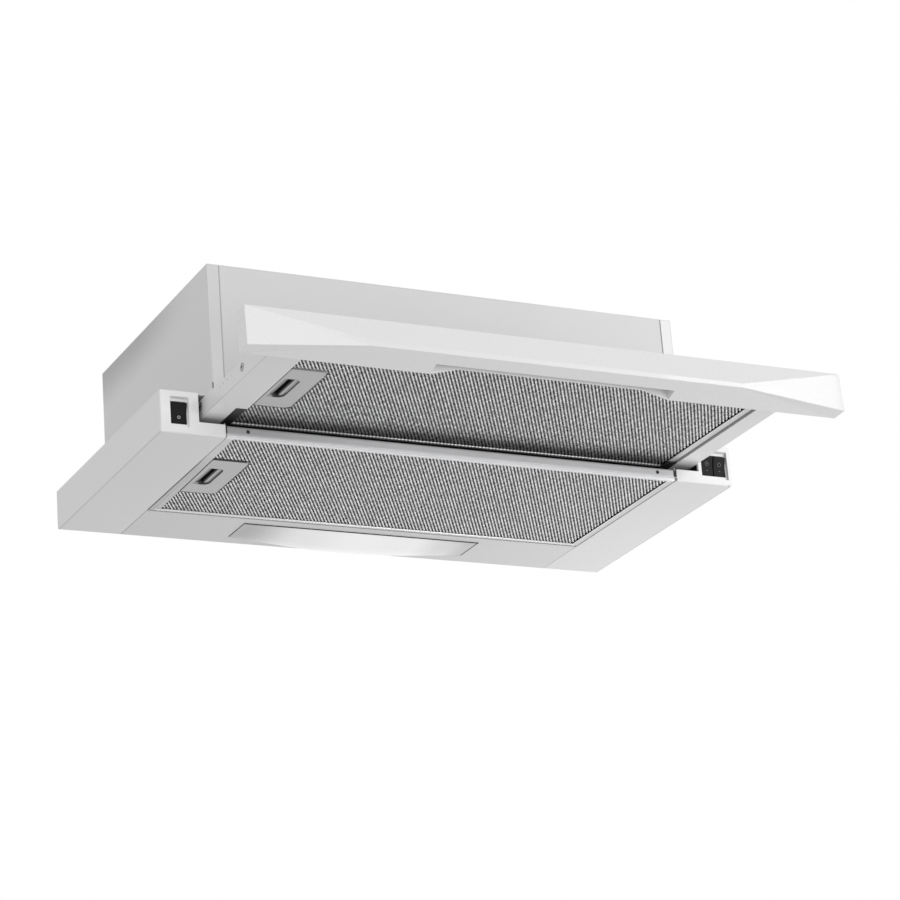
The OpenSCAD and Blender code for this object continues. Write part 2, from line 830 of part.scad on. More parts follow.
module filter_frame(y, len, z) {
    mid = y + len / 2;
    color(aluminium) difference() {
        union() {
            block([-filter_x, y, z], [filter_x, y + len, z + filter_t]);
            for (end = [-1, 1]) {
                translate([0, mid + end * len * tab_share, z + latch_z])
                    block([filter_x - sheet, -tab_w / 2, 0], [filter_x + bolt_reach, tab_w / 2, latch_t]);
            }
        }
        block([frame_t - filter_x, y + frame_t, z + frame_t],
              [filter_x - frame_t, y + len - frame_t, z + filter_t - frame_t]);
        block([-window_x, y + front_lip, z - cut], [window_x, y + len - rear_lip, z + filter_t + cut]);
        catch_slot(-filter_x, frame_t - filter_x, mid, z, bolt_w);
    }
}

// Rows of the expanded sheet, seen as a zigzag from the side
module mesh_rows(y0, y1, z) {
    rows = floor(window_x * 2 / mesh_pitch);
    start = -rows * mesh_pitch / 2;
    along_y(y0, y1) polygon(concat(
        [for (i = [0 : rows * 2]) [start + i * mesh_pitch / 2, z + (i % 2 == 0 ? ridge_h : 0)]],
        [[-start, z + ridge_h * 2], [start, z + ridge_h * 2]]
    ));
}

module filter_mesh(y, len, z) {
    x = filter_x - frame_t - pad_gap;
    rows_z = z + ridge_rise;
    pocket_y = plate_len / 2 + pad_gap;
    color(plate_grey) difference() {
        union() {
            block([-x, y + frame_t + pad_gap, rows_z + ridge_h],
                  [x, y + len - frame_t - pad_gap, z + filter_t - frame_t - pad_gap]);
            mesh_rows(y + front_lip + pad_gap, y + len - rear_lip - pad_gap, rows_z);
        }
        block([-x - cut, y + len / 2 - pocket_y, z - cut],
              [plate_w - window_x + pad_gap, y + len / 2 + pocket_y, z + filter_t + cut]);
    }
}

// A rectangle with two rounded corners on its right side
module plate_outline(x0, x1, half, r) {
    translate([x0, -half]) square([x1 - x0 - r, half * 2]);
    translate([x1 - r * 2, r - half]) square([r * 2, half * 2 - r * 2]);
    for (end = [-1, 1]) {
        translate([x1 - r, end * (half - r)]) circle(r);
    }
}

module filter_handle(y, len, z) {
    x0 = frame_t + pad_gap - filter_x;
    x1 = plate_w - window_x;
    half = plate_len / 2;
    color(plate_grey) translate([0, y + len / 2, z]) difference() {
        union() {
            linear_extrude(plate_t) plate_outline(seat_gap - window_x, x1, half, latch_hole_r);
            difference() {
                block([x0, -half, frame_t + pad_gap], [x1, half, tray_h]);
                block([x0 + plate_t, plate_t - half, frame_t + pad_gap + plate_t],
                      [x1 - plate_t, half - plate_t, tray_h + cut]);
            }
            for (end = [-1, 1]) {
                translate([0, end * (slider_w / 2 - guide_w / 2 + pad_gap), 0])
                    block([x0, -guide_w / 2, frame_t + pad_gap],
                          [x1 - plate_t, guide_w / 2, latch_z - run_gap]);
            }
            along_y(-latch_hole_len / 2, latch_hole_len / 2) polygon([
                [hole_x0 - plate_t, 0], [hole_x0, 0], [hole_x0 + scoop_w, scoop_h],
                [hole_x0 + scoop_w, scoop_h + plate_t], [hole_x0 - plate_t, plate_t * 2]
            ]);
        }
        difference() {
            translate([0, 0, -cut]) linear_extrude(frame_t + pad_gap + plate_t + cut * 2)
                plate_outline(hole_x0, hole_x1, latch_hole_len / 2, latch_hole_r);
            along_y(-latch_hole_len, latch_hole_len) polygon([
                [hole_x0 - plate_t, 0], [hole_x0, 0], [hole_x0 + scoop_w, scoop_h],
                [hole_x0 + scoop_w, tray_h], [hole_x0 - plate_t, tray_h]
            ]);
        }
        block([x0 - cut, -bolt_w / 2 - slot_gap, latch_z - slot_gap],
              [x0 + plate_t + cut, bolt_w / 2 + slot_gap, tray_h + cut]);
    }
}

module filter_latch(y, len, z) {
    tab_x = hole_x1 - tab_t - seat_gap;
    color(plate_grey) translate([0, y + len / 2, z]) {
        block([latch_front_x, -slider_w / 2, latch_z], [latch_rear_x, slider_w / 2, latch_z + latch_t]);
        block([-filter_x - bolt_reach, -bolt_w / 2, latch_z],
              [latch_front_x, bolt_w / 2, latch_z + latch_t]);
        translate([0, 0, frame_t + pad_gap + plate_t + run_gap])
            linear_extrude(latch_z - frame_t - pad_gap - plate_t - run_gap)
            plate_outline(tab_x, hole_x1 - seat_gap, latch_hole_len / 2 - tab_gap, tab_edge);
    }
}

// A coil spring between the latch and the far wall of the handle
wire_r = 0.35;
coil_r = 1.6;
coil_turns = 6;
ring_steps = 10;
wire_sides = 6;

function coil_point(i, x0, length) =
    let (turn = 360 * i / ring_steps)
    [x0 + length * i / (ring_steps * coil_turns), coil_r * cos(turn), coil_r * sin(turn)];

function wire_ring(i, x0, length) =
    let (turn = 360 * i / ring_steps, at = coil_point(i, x0, length))
    [for (k = [0 : wire_sides - 1])
        let (a = 360 * k / wire_sides)
        at + wire_r * [cos(a), sin(a) * cos(turn), sin(a) * sin(turn)]];

module filter_spring(y, len, z) {
    x0 = latch_rear_x + run_gap + wire_r;
    x1 = plate_w - window_x - plate_t - run_gap - wire_r;
    rings = ring_steps * coil_turns;
    points = [for (i = [0 : rings]) each wire_ring(i, x0, x1 - x0)];
    last = rings * wire_sides;
    sides = [for (i = [0 : rings - 1], k = [0 : wire_sides - 1])
        let (a = i * wire_sides + k, b = i * wire_sides + (k + 1) % wire_sides)
        each [[a, b, b + wire_sides], [a, b + wire_sides, a + wire_sides]]];
    ends = [for (k = [1 : wire_sides - 2])
        each [[0, k + 1, k], [last, last + k, last + k + 1]]];
    color(steel) translate([0, y + len / 2, z + latch_z + latch_t / 2])
        polyhedron(points, concat(sides, ends));
}

// Lamp: a bowed lens, a reflector tray, a holder and a tubular bulb
lens_inset = 12.2;
lens_front_y = lamp_panel_y + lens_inset;
lens_x = lens_w / 2;
lens_bow_r = (lens_x * lens_x + lens_rear_bow * lens_rear_bow) / (lens_rear_bow * 2);
lens_rear_y = lens_front_y + lens_side_d + lens_rear_bow;
lens_steps_x = 20;
lens_steps_y = 8;
drop_share = 2.6;
lens_tab = 2.5;
lens_tab_inset = 6;

module lens_plan(gap) {
    intersection() {
        translate([-lens_x - gap, lens_front_y - gap])
            square([lens_w + gap * 2, lens_side_d + lens_rear_bow + gap * 2]);
        translate([0, lens_rear_y - lens_bow_r]) circle(lens_bow_r + gap, $fn = 180);
    }
}

// Depth of the lens at x, and its drop at share v of that depth
function lens_depth(x) = lens_side_d + lens_rear_bow - lens_bow_r + sqrt(lens_bow_r * lens_bow_r - x * x);
function lens_drop(u, v) = lens_sag * (1 - u * u) * v * sqrt(1 - v) * drop_share;

function lens_point(i, j, rise) =
    let (u = i / lens_steps_x * 2 - 1, v = j / lens_steps_y, x = u * lens_x)
    [x, lens_front_y + lens_depth(x) * v, floor_z + rise - lens_drop(u, v)];

module lamp_lens() {
    nx = lens_steps_x;
    ny = lens_steps_y;
    row = ny + 1;
    skin = row * (nx + 1);
    points = [for (rise = [lens_t, 0], i = [0 : nx], j = [0 : ny]) lens_point(i, j, rise)];
    low = [for (i = [0 : nx - 1], j = [0 : ny - 1])
        let (a = i * row + j) each [[a, a + 1, a + row], [a + 1, a + row + 1, a + row]]];
    high = [for (f = low) [f[0] + skin, f[2] + skin, f[1] + skin]];
    rim = concat(
        [for (j = [0 : ny - 1]) [j, j + 1]],
        [for (i = [0 : nx - 1]) [i * row + ny, (i + 1) * row + ny]],
        [for (j = [ny - 1 : -1 : 0]) [nx * row + j + 1, nx * row + j]],
        [for (i = [nx - 1 : -1 : 0]) [(i + 1) * row, i * row]]
    );
    wall = [for (e = rim) each [[e[0], e[0] + skin, e[1]], [e[1], e[0] + skin, e[1] + skin]]];
    color("white") {
        polyhedron(points, concat(low, high, wall));
        for (side = [-1, 1]) {
            hand(side) block([lens_x - cut, lens_front_y + lens_tab_inset, floor_z + sheet],
                             [lens_x + lens_tab, lens_front_y + lens_side_d - lens_tab_inset,
                              floor_z + lens_t + seat_gap]);
        }
    }
}

tray_sheet = 0.6;
tray_top = 31;
tray_lean = 5;
tray_x = lens_x + lens_tab + 1;
tray_front_y = lens_front_y - lens_tab;
tray_rear_y = back_y - rear_round;
tray_low_z = floor_z + sheet;
lamp_y = (tray_front_y + tray_rear_y) / 2;
lamp_z = floor_z + tray_top / 2;
lamp_half = 42;
holder_x = -78;
holder_r = 12;
cap_r = 7;

module lamp_reflector() {
    color(aluminium) difference() {
        along_x(-tray_x, tray_x) polygon([
            [tray_front_y, tray_low_z], [tray_rear_y, tray_low_z],
            [tray_rear_y - tray_lean, floor_z + tray_top], [tray_front_y + tray_lean, floor_z + tray_top]
        ]);
        along_x(tray_sheet - tray_x, tray_x - tray_sheet) polygon([
            [tray_front_y + tray_sheet, tray_low_z - cut], [tray_rear_y - tray_sheet, tray_low_z - cut],
            [tray_rear_y - tray_lean - tray_sheet, floor_z + tray_top - tray_sheet],
            [tray_front_y + tray_lean + tray_sheet, floor_z + tray_top - tray_sheet]
        ]);
    }
}

module lamp_holder() {
    color(bezel_white) translate([0, lamp_y, lamp_z]) difference() {
        union() {
            bar_x(holder_x - holder_r, holder_x + holder_r, holder_r);
            block([tray_sheet - tray_x, -holder_r / 2, -holder_r / 2],
                  [holder_x - holder_r / 2, holder_r / 2, holder_r / 2]);
        }
        bar_x(holder_x, holder_x + holder_r + cut, cap_r + pin_gap);
    }
}

module lamp_bulb() {
    color("white") translate([0, lamp_y, lamp_z]) {
        bar_x(holder_x, -lamp_half, cap_r);
        bar_x(-lamp_half, lamp_half - lamp_r, lamp_r);
        translate([lamp_half - lamp_r, 0, 0]) sphere(lamp_r);
    }
}

// Blower: a spiral casing in two halves around a drum impeller
fan_y = duct_y - 37.5;
fan_z = 62;
tongue_a = 80;
spiral_step = 10;
scroll_flange_t = 3;
scroll_flange = 53;
seam_rise = 3;
inlet_r = 36;
inlet_lip = 2;
scroll_top = panel_z - fan_z;

function spiral(a) = tongue_r + (outlet_r - tongue_r) * (a - tongue_a) / (360 - tongue_a);
function scroll_outline(grow, top) = concat(
    [for (a = [tongue_a : spiral_step : 360]) (spiral(a) + grow) * [cos(a), sin(a)]],
    [[outlet_r + grow, top], [tongue_r * cos(tongue_a) - grow, top]]
);

module scroll_half(side) {
    half = scroll_w / 2;
    color(plate_grey) hand(side) difference() {
        union() {
            translate([0, fan_y, fan_z]) {
                along_x(0, half) polygon(scroll_outline(0, scroll_top));
                along_x(0, scroll_wall) polygon(scroll_outline(seam_rise, scroll_top));
                translate([half, 0, 0]) rotate([0, 90, 0]) rotate_extrude()
                    translate([inlet_r + inlet_lip, 0]) circle(inlet_lip, $fn = 24);
            }
            block([0, duct_y - scroll_flange, panel_z - scroll_flange_t],
                  [scroll_flange, duct_y + scroll_flange, panel_z]);
        }
        translate([0, fan_y, fan_z]) {
            along_x(-cut, half - scroll_wall) polygon(scroll_outline(-scroll_wall, scroll_top + cut));
            bar_x(0, half + inlet_lip * 2, inlet_r);
        }
        at_collar_screws() translate([0, 0, panel_z - scroll_flange_t - cut])
            cylinder(h = scroll_flange_t + cut * 2, r = screw_r + run_gap);
    }
}

blade_in_r = impeller_r - 8;
blade_t = 1;
blade_sweep = 16;
blade_inset = 0.4;
hub_r = 10;
hub_len = 20;
disc_t = 2;
ring_t = 2;
blade_step_share = 0.25;

// One forward curved blade, as its outline in Y and Z
function blade_side(shift) = [for (s = [0 : blade_step_share : 1])
    let (r = blade_in_r + blade_inset + (impeller_r - blade_in_r - blade_inset * 2) * s,
         a = blade_sweep * pow(s, 2) + shift / r * 180 / PI)
    r * [cos(a), sin(a)]];
function reversed(list) = [for (i = [len(list) - 1 : -1 : 0]) list[i]];

module impeller() {
    half = impeller_w / 2;
    color(black) translate([0, fan_y, fan_z]) difference() {
        union() {
            for (i = [0 : blade_count - 1]) {
                rotate([i * 360 / blade_count, 0, 0]) along_x(blade_inset - half, half - blade_inset)
                    polygon(concat(blade_side(0), reversed(blade_side(blade_t))));
            }
            for (side = [-1, 1]) {
                hand(side) difference() {
                    bar_x(half - ring_t, half, impeller_r);
                    bar_x(half - ring_t - cut, half + cut, blade_in_r);
                }
            }
            bar_x(-disc_t / 2, disc_t / 2, impeller_r);
            bar_x(-hub_len / 2, hub_len / 2, hub_r);
        }
        bar_x(-half, half, shaft_r);
    }
}

motor_x1 = -scroll_w / 2 - 8;
motor_x0 = motor_x1 - motor_len;
shaft_over = 4;
bell_share = 0.24;
bell_r_share = 0.86;
bell_r = motor_r * bell_r_share;
boss_r = 11;
boss_len = 5;

module motor_shaft() {
    color(steel) translate([0, fan_y, fan_z])
        bar_x(motor_x0 - boss_len - shaft_over, hub_len / 2 + shaft_over, shaft_r);
}

module motor() {
    bell = motor_len * bell_share;
    color(steel) translate([0, fan_y, fan_z]) difference() {
        union() {
            bar_x(motor_x0, motor_x1, bell_r);
            bar_x(motor_x0 + bell, motor_x1 - bell, motor_r);
            bar_x(motor_x0 - boss_len, motor_x1 + boss_len, boss_r);
        }
        bar_x(motor_x0 - boss_len - cut, motor_x1 + boss_len + cut, shaft_r + pin_gap);
    }
}

mount_r = 45;
mount_grommet_r = 3.5;
strap_t = 2;
strap_w = 10;
mount_turns = [20, 150, 270];
strap_x = -scroll_w / 2 - 12;

module motor_bracket() {
    color(steel) translate([0, fan_y, fan_z]) difference() {
        union() {
            bar_x(strap_x - strap_w, strap_x, bell_r + strap_t);
            for (turn = mount_turns) {
                rotate([turn, 0, 0])
                    block([strap_x - strap_t, bell_r, -strap_w / 2],
                          [strap_x, mount_r + mount_grommet_r, strap_w / 2]);
            }
        }
        bar_x(strap_x - strap_w - cut, strap_x + cut, bell_r);
        bar_x(motor_x0 - cut, motor_x1 - motor_len * bell_share, motor_r + seat_gap);
    }
}

module motor_mounts() {
    color(black) translate([0, fan_y, fan_z]) for (turn = mount_turns) {
        rotate([turn, 0, 0]) translate([0, mount_r, 0]) bar_x(strap_x, -scroll_w / 2, mount_grommet_r);
    }
}

capacitor_r = 15;
capacitor_len = 50;
capacitor_at = [130, -30];
spade_h = 7;

module capacitor() {
    color(black) translate([capacitor_at.x, capacitor_at.y, panel_z - capacitor_len]) {
        cylinder(h = capacitor_len, r = capacitor_r);
        for (side = [-1, 1]) {
            translate([side * capacitor_r / 2, 0, 0])
                block([-sheet / 2, -terminal_w / 2, -spade_h], [sheet / 2, terminal_w / 2, 0]);
        }
    }
}

box_w = 60;
box_d = 56;
box_h = 34;
box_wall = 2;
box_lid = 6;

module terminal_box() {
    color(black) translate([gland_x, gland_y, 0]) difference() {
        union() {
            block([-box_w / 2, -box_d / 2, panel_z - box_h], [box_w / 2, box_d / 2, panel_z]);
            block([-box_w / 2 - box_wall, -box_d / 2 - box_wall, panel_z - box_h],
                  [box_w / 2 + box_wall, box_d / 2 + box_wall, panel_z - box_h + box_lid]);
        }
        block([box_wall - box_w / 2, box_wall - box_d / 2, panel_z - box_h + box_wall],
              [box_w / 2 - box_wall, box_d / 2 - box_wall, panel_z + cut]);
    }
}

gland_cap_r = 11;
gland_cap_h = 9;
gland_bore_r = 3.5;
gland_cone_h = 6;

module cable_gland() {
    color(black) translate([gland_x, gland_y, 0]) difference() {
        union() {
            translate([0, 0, panel_z - gland_cap_h])
                cylinder(h = gland_cap_h + sheet, r = gland_r - pin_gap);
            translate([0, 0, housing_h]) cylinder(h = gland_cap_h, r = gland_cap_r);
            translate([0, 0, housing_h + gland_cap_h])
                cylinder(h = gland_cone_h, r1 = gland_cap_r - box_wall, r2 = gland_r - box_wall);
        }
        translate([0, 0, panel_z - gland_cap_h - cut])
            cylinder(h = gland_cap_h * 2 + gland_cone_h + cut * 3, r = gland_bore_r);
    }
}

// The two filters are alike; one lies in the base and one in the drawer
module fixed_filter_frame() {
    filter_frame(fixed_filter_y, fixed_filter_len, floor_z);
}

module drawer_filter_frame() {
    filter_frame(drawer_filter_y, drawer_filter_len, drawer_filter_z);
}

module fixed_filter_mesh() {
    filter_mesh(fixed_filter_y, fixed_filter_len, floor_z);
}

module drawer_filter_mesh() {
    filter_mesh(drawer_filter_y, drawer_filter_len, drawer_filter_z);
}

module fixed_filter_handle() {
    filter_handle(fixed_filter_y, fixed_filter_len, floor_z);
}

module drawer_filter_handle() {
    filter_handle(drawer_filter_y, drawer_filter_len, drawer_filter_z);
}

module fixed_filter_latch() {
    filter_latch(fixed_filter_y, fixed_filter_len, floor_z);
}

module drawer_filter_latch() {
    filter_latch(drawer_filter_y, drawer_filter_len, drawer_filter_z);
}

module fixed_filter_spring() {
    filter_spring(fixed_filter_y, fixed_filter_len, floor_z);
}

module drawer_filter_spring() {
    filter_spring(drawer_filter_y, drawer_filter_len, drawer_filter_z);
}

base_side(-1);  // base_side_left
base_side(1);  // base_side_right
lamp_panel();
side_panel(-1);  // side_panel_left
side_panel(1);  // side_panel_right
front_panel();
back_panel();
top_panel();
bezel(-1, lamp_window_w);  // bezel_left
bezel(1, fan_window_w);  // bezel_right
crossbar();
lamp_switch_body();
fan_switch_body();
switch_terminals();
rocker(-rocker_x, lamp_rocker_w);  // lamp_rocker
rocker(rocker_x - fan_pivot_x, fan_rocker_w);  // power_rocker
rocker(rocker_x + fan_pivot_x, fan_rocker_w);  // speed_rocker
lamp_lens();
lamp_reflector();
lamp_holder();
lamp_bulb();
fixed_filter_frame();
fixed_filter_mesh();
fixed_filter_handle();
fixed_filter_latch();
fixed_filter_spring();
drawer_filter_frame();
drawer_filter_mesh();
drawer_filter_handle();
drawer_filter_latch();
drawer_filter_spring();
arm(-1);  // arm_left
arm(1);  // arm_right
drawer_front_rail();
drawer_rear_rail();
front_strip();
filter_pads();
slide_fixed(-1);  // slide_fixed_left
slide_fixed(1);  // slide_fixed_right
slide_moving(-1);  // slide_moving_left
slide_moving(1);  // slide_moving_right
ball_cage(-1);  // ball_cage_left
ball_cage(1);  // ball_cage_right
slide_screws();
scroll_half(-1);  // scroll_left
scroll_half(1);  // scroll_right
impeller();
motor_shaft();
motor();
motor_bracket();
motor_mounts();
capacitor();
terminal_box();
cable_gland();
duct_collar();
flap(-1);  // flap_front
flap(1);  // flap_rear
collar_screws();
panel_screws();
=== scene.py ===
import bpy
import bmesh
from math import radians, pi, sin, tan
from mathutils import Matrix, Vector


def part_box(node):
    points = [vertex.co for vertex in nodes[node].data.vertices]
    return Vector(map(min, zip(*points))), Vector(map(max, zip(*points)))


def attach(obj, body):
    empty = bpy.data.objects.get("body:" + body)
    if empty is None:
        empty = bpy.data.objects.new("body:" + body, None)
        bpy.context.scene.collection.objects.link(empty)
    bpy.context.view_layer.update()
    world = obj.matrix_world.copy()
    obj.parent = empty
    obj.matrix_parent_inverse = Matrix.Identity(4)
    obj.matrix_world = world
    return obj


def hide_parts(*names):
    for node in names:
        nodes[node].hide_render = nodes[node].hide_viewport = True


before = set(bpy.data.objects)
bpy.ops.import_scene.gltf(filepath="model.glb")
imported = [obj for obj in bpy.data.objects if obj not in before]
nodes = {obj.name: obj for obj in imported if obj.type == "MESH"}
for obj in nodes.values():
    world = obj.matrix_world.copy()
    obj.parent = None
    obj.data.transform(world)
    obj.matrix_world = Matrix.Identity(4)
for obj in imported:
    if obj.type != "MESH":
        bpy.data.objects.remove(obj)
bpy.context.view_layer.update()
scene = bpy.context.scene
MM = 0.001


# ---- Camera, light and floor ----

CAMERA_PLACE = Vector((-1.23414, -2.49199, -0.99590))
VIEW_DIRECTION = Vector((0.43409, 0.83344, 0.34196))
IMAGE_UP = Vector((-0.08812, -0.33848, 0.93684))
LENS_MM = 120.15
SENSOR_MM = 36
FAR_CLIP = 50


def make_camera():
    data = bpy.data.cameras.new("camera")
    data.lens = LENS_MM
    data.sensor_width = SENSOR_MM
    data.clip_end = FAR_CLIP
    camera = bpy.data.objects.new("camera", data)
    scene.collection.objects.link(camera)
    forward = VIEW_DIRECTION.normalized()
    right = forward.cross(IMAGE_UP).normalized()
    up = right.cross(forward)
    turn = Matrix((right, up, -forward)).transposed()
    camera.matrix_world = Matrix.Translation(CAMERA_PLACE) @ turn.to_4x4()
    scene.camera = camera


def soft_light(name, place, target, size, watts):
    data = bpy.data.lights.new(name, "AREA")
    data.shape = "RECTANGLE"
    data.size, data.size_y = size
    data.energy = watts
    lamp = bpy.data.objects.new(name, data)
    scene.collection.objects.link(lamp)
    lamp.location = place
    lamp.rotation_euler = (Vector(target) - Vector(place)).to_track_quat("-Z", "Y").to_euler()


def white_to_the_eye(tree, surface):
    """Shows plain white to the camera, glass and metal; the surface given lights the object."""
    ray = tree.nodes.new("ShaderNodeLightPath")
    seen = ray.outputs["Is Camera Ray"]
    for kind in ("Is Glossy Ray", "Is Transmission Ray"):
        either = tree.nodes.new("ShaderNodeMath")
        either.operation = "MAXIMUM"
        tree.links.new(seen, either.inputs[0])
        tree.links.new(ray.outputs[kind], either.inputs[1])
        seen = either.outputs[0]
    mix = tree.nodes.new("ShaderNodeMixShader")
    white = tree.nodes.new("ShaderNodeBackground")
    white.inputs["Color"].default_value = (1, 1, 1, 1)
    white.inputs["Strength"].default_value = 1.0
    tree.links.new(seen, mix.inputs[0])
    tree.links.new(surface, mix.inputs[1])
    tree.links.new(white.outputs[0], mix.inputs[2])
    return mix.outputs[0]


AMBIENT = 0.59
FLOOR_Z = -3.2
FLOOR_HALF = 9.0
# Each lamp: where it stands, what it points at, its width and height in metres, and its watts.
LAMPS = {
    "front_right_light": ((1.6, -2.6, -0.5), (0.1, 0, 0), (2.0, 1.6), 25),
    "top_light": ((-0.6, -1.2, 2.2), (0, 0, 0), (2.4, 2.4), 4),
    "gloss_light": ((1.94, -2.46, 1.22), (0.25, -0.3, 0), (0.9, 0.7), 10),
    "left_gloss_light": ((0.34, -2.9, 1.45), (-0.25, -0.35, 0), (0.7, 0.6), 3),
    "front_left_light": ((-1.8, -2.2, -0.4), (0, 0, 0), (1.6, 1.2), 6),
    "low_right_light": ((0.9, 0.25, -0.7), (0.3, 0, -0.04), (0.4, 0.3), 4.6),
}


def make_studio():
    world = bpy.data.worlds.new("studio")
    scene.world = world
    world.use_nodes = True
    tree = world.node_tree
    tree.nodes.clear()
    ambient = tree.nodes.new("ShaderNodeBackground")
    ambient.inputs["Color"].default_value = (1, 1, 1, 1)
    ambient.inputs["Strength"].default_value = AMBIENT
    out = tree.nodes.new("ShaderNodeOutputWorld")
    tree.links.new(white_to_the_eye(tree, ambient.outputs[0]), out.inputs["Surface"])
    for name, (place, target, size, watts) in LAMPS.items():
        soft_light(name, place, target, size, watts)
    # The low lamp fills the underside, but would show as a bright patch in the strip's gloss.
    scene.objects["low_right_light"].visible_glossy = False
    bm = bmesh.new()
    bmesh.ops.create_grid(bm, x_segments=8, y_segments=8, size=FLOOR_HALF)
    bmesh.ops.translate(bm, verts=bm.verts, vec=(0, 0, FLOOR_Z))
    floor = new_piece("floor", bm, floor_material())


def floor_material():
    material = bpy.data.materials.new("pale_floor")
    material.use_nodes = True
    shader = material.node_tree.nodes["Principled BSDF"]
    shader.inputs["Base Color"].default_value = (0.88, 0.88, 0.88, 1)
    shader.inputs["Roughness"].default_value = 0.8
    shader.inputs["Specular IOR Level"].default_value = 0.2
    return material


# ---- Making pieces ----

MERGE_GAP = 0.002


def new_piece(name, bm, material):
    mesh = bpy.data.meshes.new(name)
    bm.to_mesh(mesh)
    bm.free()
    mesh.materials.append(material)
    piece = bpy.data.objects.new(name, mesh)
    scene.collection.objects.link(piece)
    return piece


def finish_piece(piece, body, slot_name, *stands_for):
    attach(piece, body)
    if stands_for:
        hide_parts(*stands_for)


def set_smooth(piece, smooth):
    for face in piece.data.polygons:
        face.use_smooth = smooth


def rounding(piece, width, segments=2, angle=32):
    """Rounds the edges sharper than an angle, and keeps the faces between them flat."""
    bevel = piece.modifiers.new("rounded_edges", "BEVEL")
    bevel.width = width * MM
    bevel.segments = segments
    bevel.limit_method = "ANGLE"
    bevel.angle_limit = radians(angle)
    bevel.use_clamp_overlap = True
    bevel.miter_outer = "MITER_ARC"
    set_smooth(piece, False)


def dressed(node, body, slot_name, material, width, segments=2, angle=32):
    """A copy of a solid with its edges rounded as a real sheet's or moulding's are."""
    bm = bmesh.new()
    bm.from_mesh(nodes[node].data)
    bmesh.ops.remove_doubles(bm, verts=bm.verts, dist=MERGE_GAP * MM)
    piece = new_piece(node + "_rounded", bm, material)
    rounding(piece, width, segments, angle)
    finish_piece(piece, body, slot_name, node)


def paint_node(node, material):
    for slot in nodes[node].material_slots:
        slot.material = material


def add_block(bm, low, high):
    """Adds a block between two corners, in millimetres, and returns its vertices."""
    low, high = Vector(low) * MM, Vector(high) * MM
    made = bmesh.ops.create_cube(bm, size=1.0)["verts"]
    bmesh.ops.scale(bm, verts=made, vec=high - low)
    bmesh.ops.translate(bm, verts=made, vec=(low + high) / 2)
    return made


def add_turned(bm, profile, place, axis, steps=24):
    """Adds a closed body turned from a profile of (radius, height) pairs, in millimetres."""
    corners = [bm.verts.new((r * MM, 0, h * MM)) for r, h in profile]
    lines = [bm.edges.new(pair) for pair in zip(corners, corners[1:])]
    bmesh.ops.spin(bm, geom=corners + lines, cent=(0, 0, 0), axis=(0, 0, 1), angle=2 * pi,
                   steps=steps, use_merge=True)
    shell = set(corners)
    grown = True
    while grown:
        grown = False
        for vert in list(shell):
            for edge in vert.link_edges:
                other = edge.other_vert(vert)
                if other not in shell:
                    shell.add(other)
                    grown = True
    shell = list(shell)
    bmesh.ops.remove_doubles(bm, verts=shell, dist=MERGE_GAP / 2 * MM)
    shell = [vert for vert in shell if vert.is_valid]
    turn = Vector((0, 0, 1)).rotation_difference(Vector(axis)).to_matrix().to_4x4()
    bmesh.ops.transform(bm, verts=shell, matrix=Matrix.Translation(Vector(place) * MM) @ turn)
    faces = list({face for vert in shell for face in vert.link_faces})
    bmesh.ops.recalc_face_normals(bm, faces=faces)


# ---- Materials ----

def socket(group, name, direction, kind, value=None):
    made = group.interface.new_socket(name, in_out=direction, socket_type=kind)
    if value is not None:
        made.default_value = value


def mottle_group():
    """A tone that wanders a little over the surface."""
    group = bpy.data.node_groups.new("mottled_tone", "ShaderNodeTree")
    socket(group, "Tone", "INPUT", "NodeSocketColor", (0.8, 0.8, 0.8, 1))
    socket(group, "Scale", "INPUT", "NodeSocketFloat", 30.0)
    socket(group, "Spread", "INPUT", "NodeSocketFloat", 0.04)
    socket(group, "Color", "OUTPUT", "NodeSocketColor")
    tree = group.nodes
    entry = tree.new("NodeGroupInput")
    leave = tree.new("NodeGroupOutput")
    place = tree.new("ShaderNodeTexCoord")
    noise = tree.new("ShaderNodeTexNoise")
    noise.inputs["Detail"].default_value = 5
    span = tree.new("ShaderNodeMath")
    span.operation = "SUBTRACT"
    span.inputs[1].default_value = 0.5
    gain = tree.new("ShaderNodeMath")
    gain.operation = "MULTIPLY"
    light = tree.new("ShaderNodeMath")
    light.operation = "ADD"
    light.inputs[1].default_value = 1.0
    scale = tree.new("ShaderNodeVectorMath")
    scale.operation = "SCALE"
    link = group.links.new
    link(place.outputs["Object"], noise.inputs["Vector"])
    link(entry.outputs["Scale"], noise.inputs["Scale"])
    link(noise.outputs["Fac"], span.inputs[0])
    link(span.outputs[0], gain.inputs[0])
    link(entry.outputs["Spread"], gain.inputs[1])
    link(gain.outputs[0], light.inputs[0])
    link(entry.outputs["Tone"], scale.inputs[0])
    link(light.outputs[0], scale.inputs["Scale"])
    link(scale.outputs[0], leave.inputs["Color"])
    return group


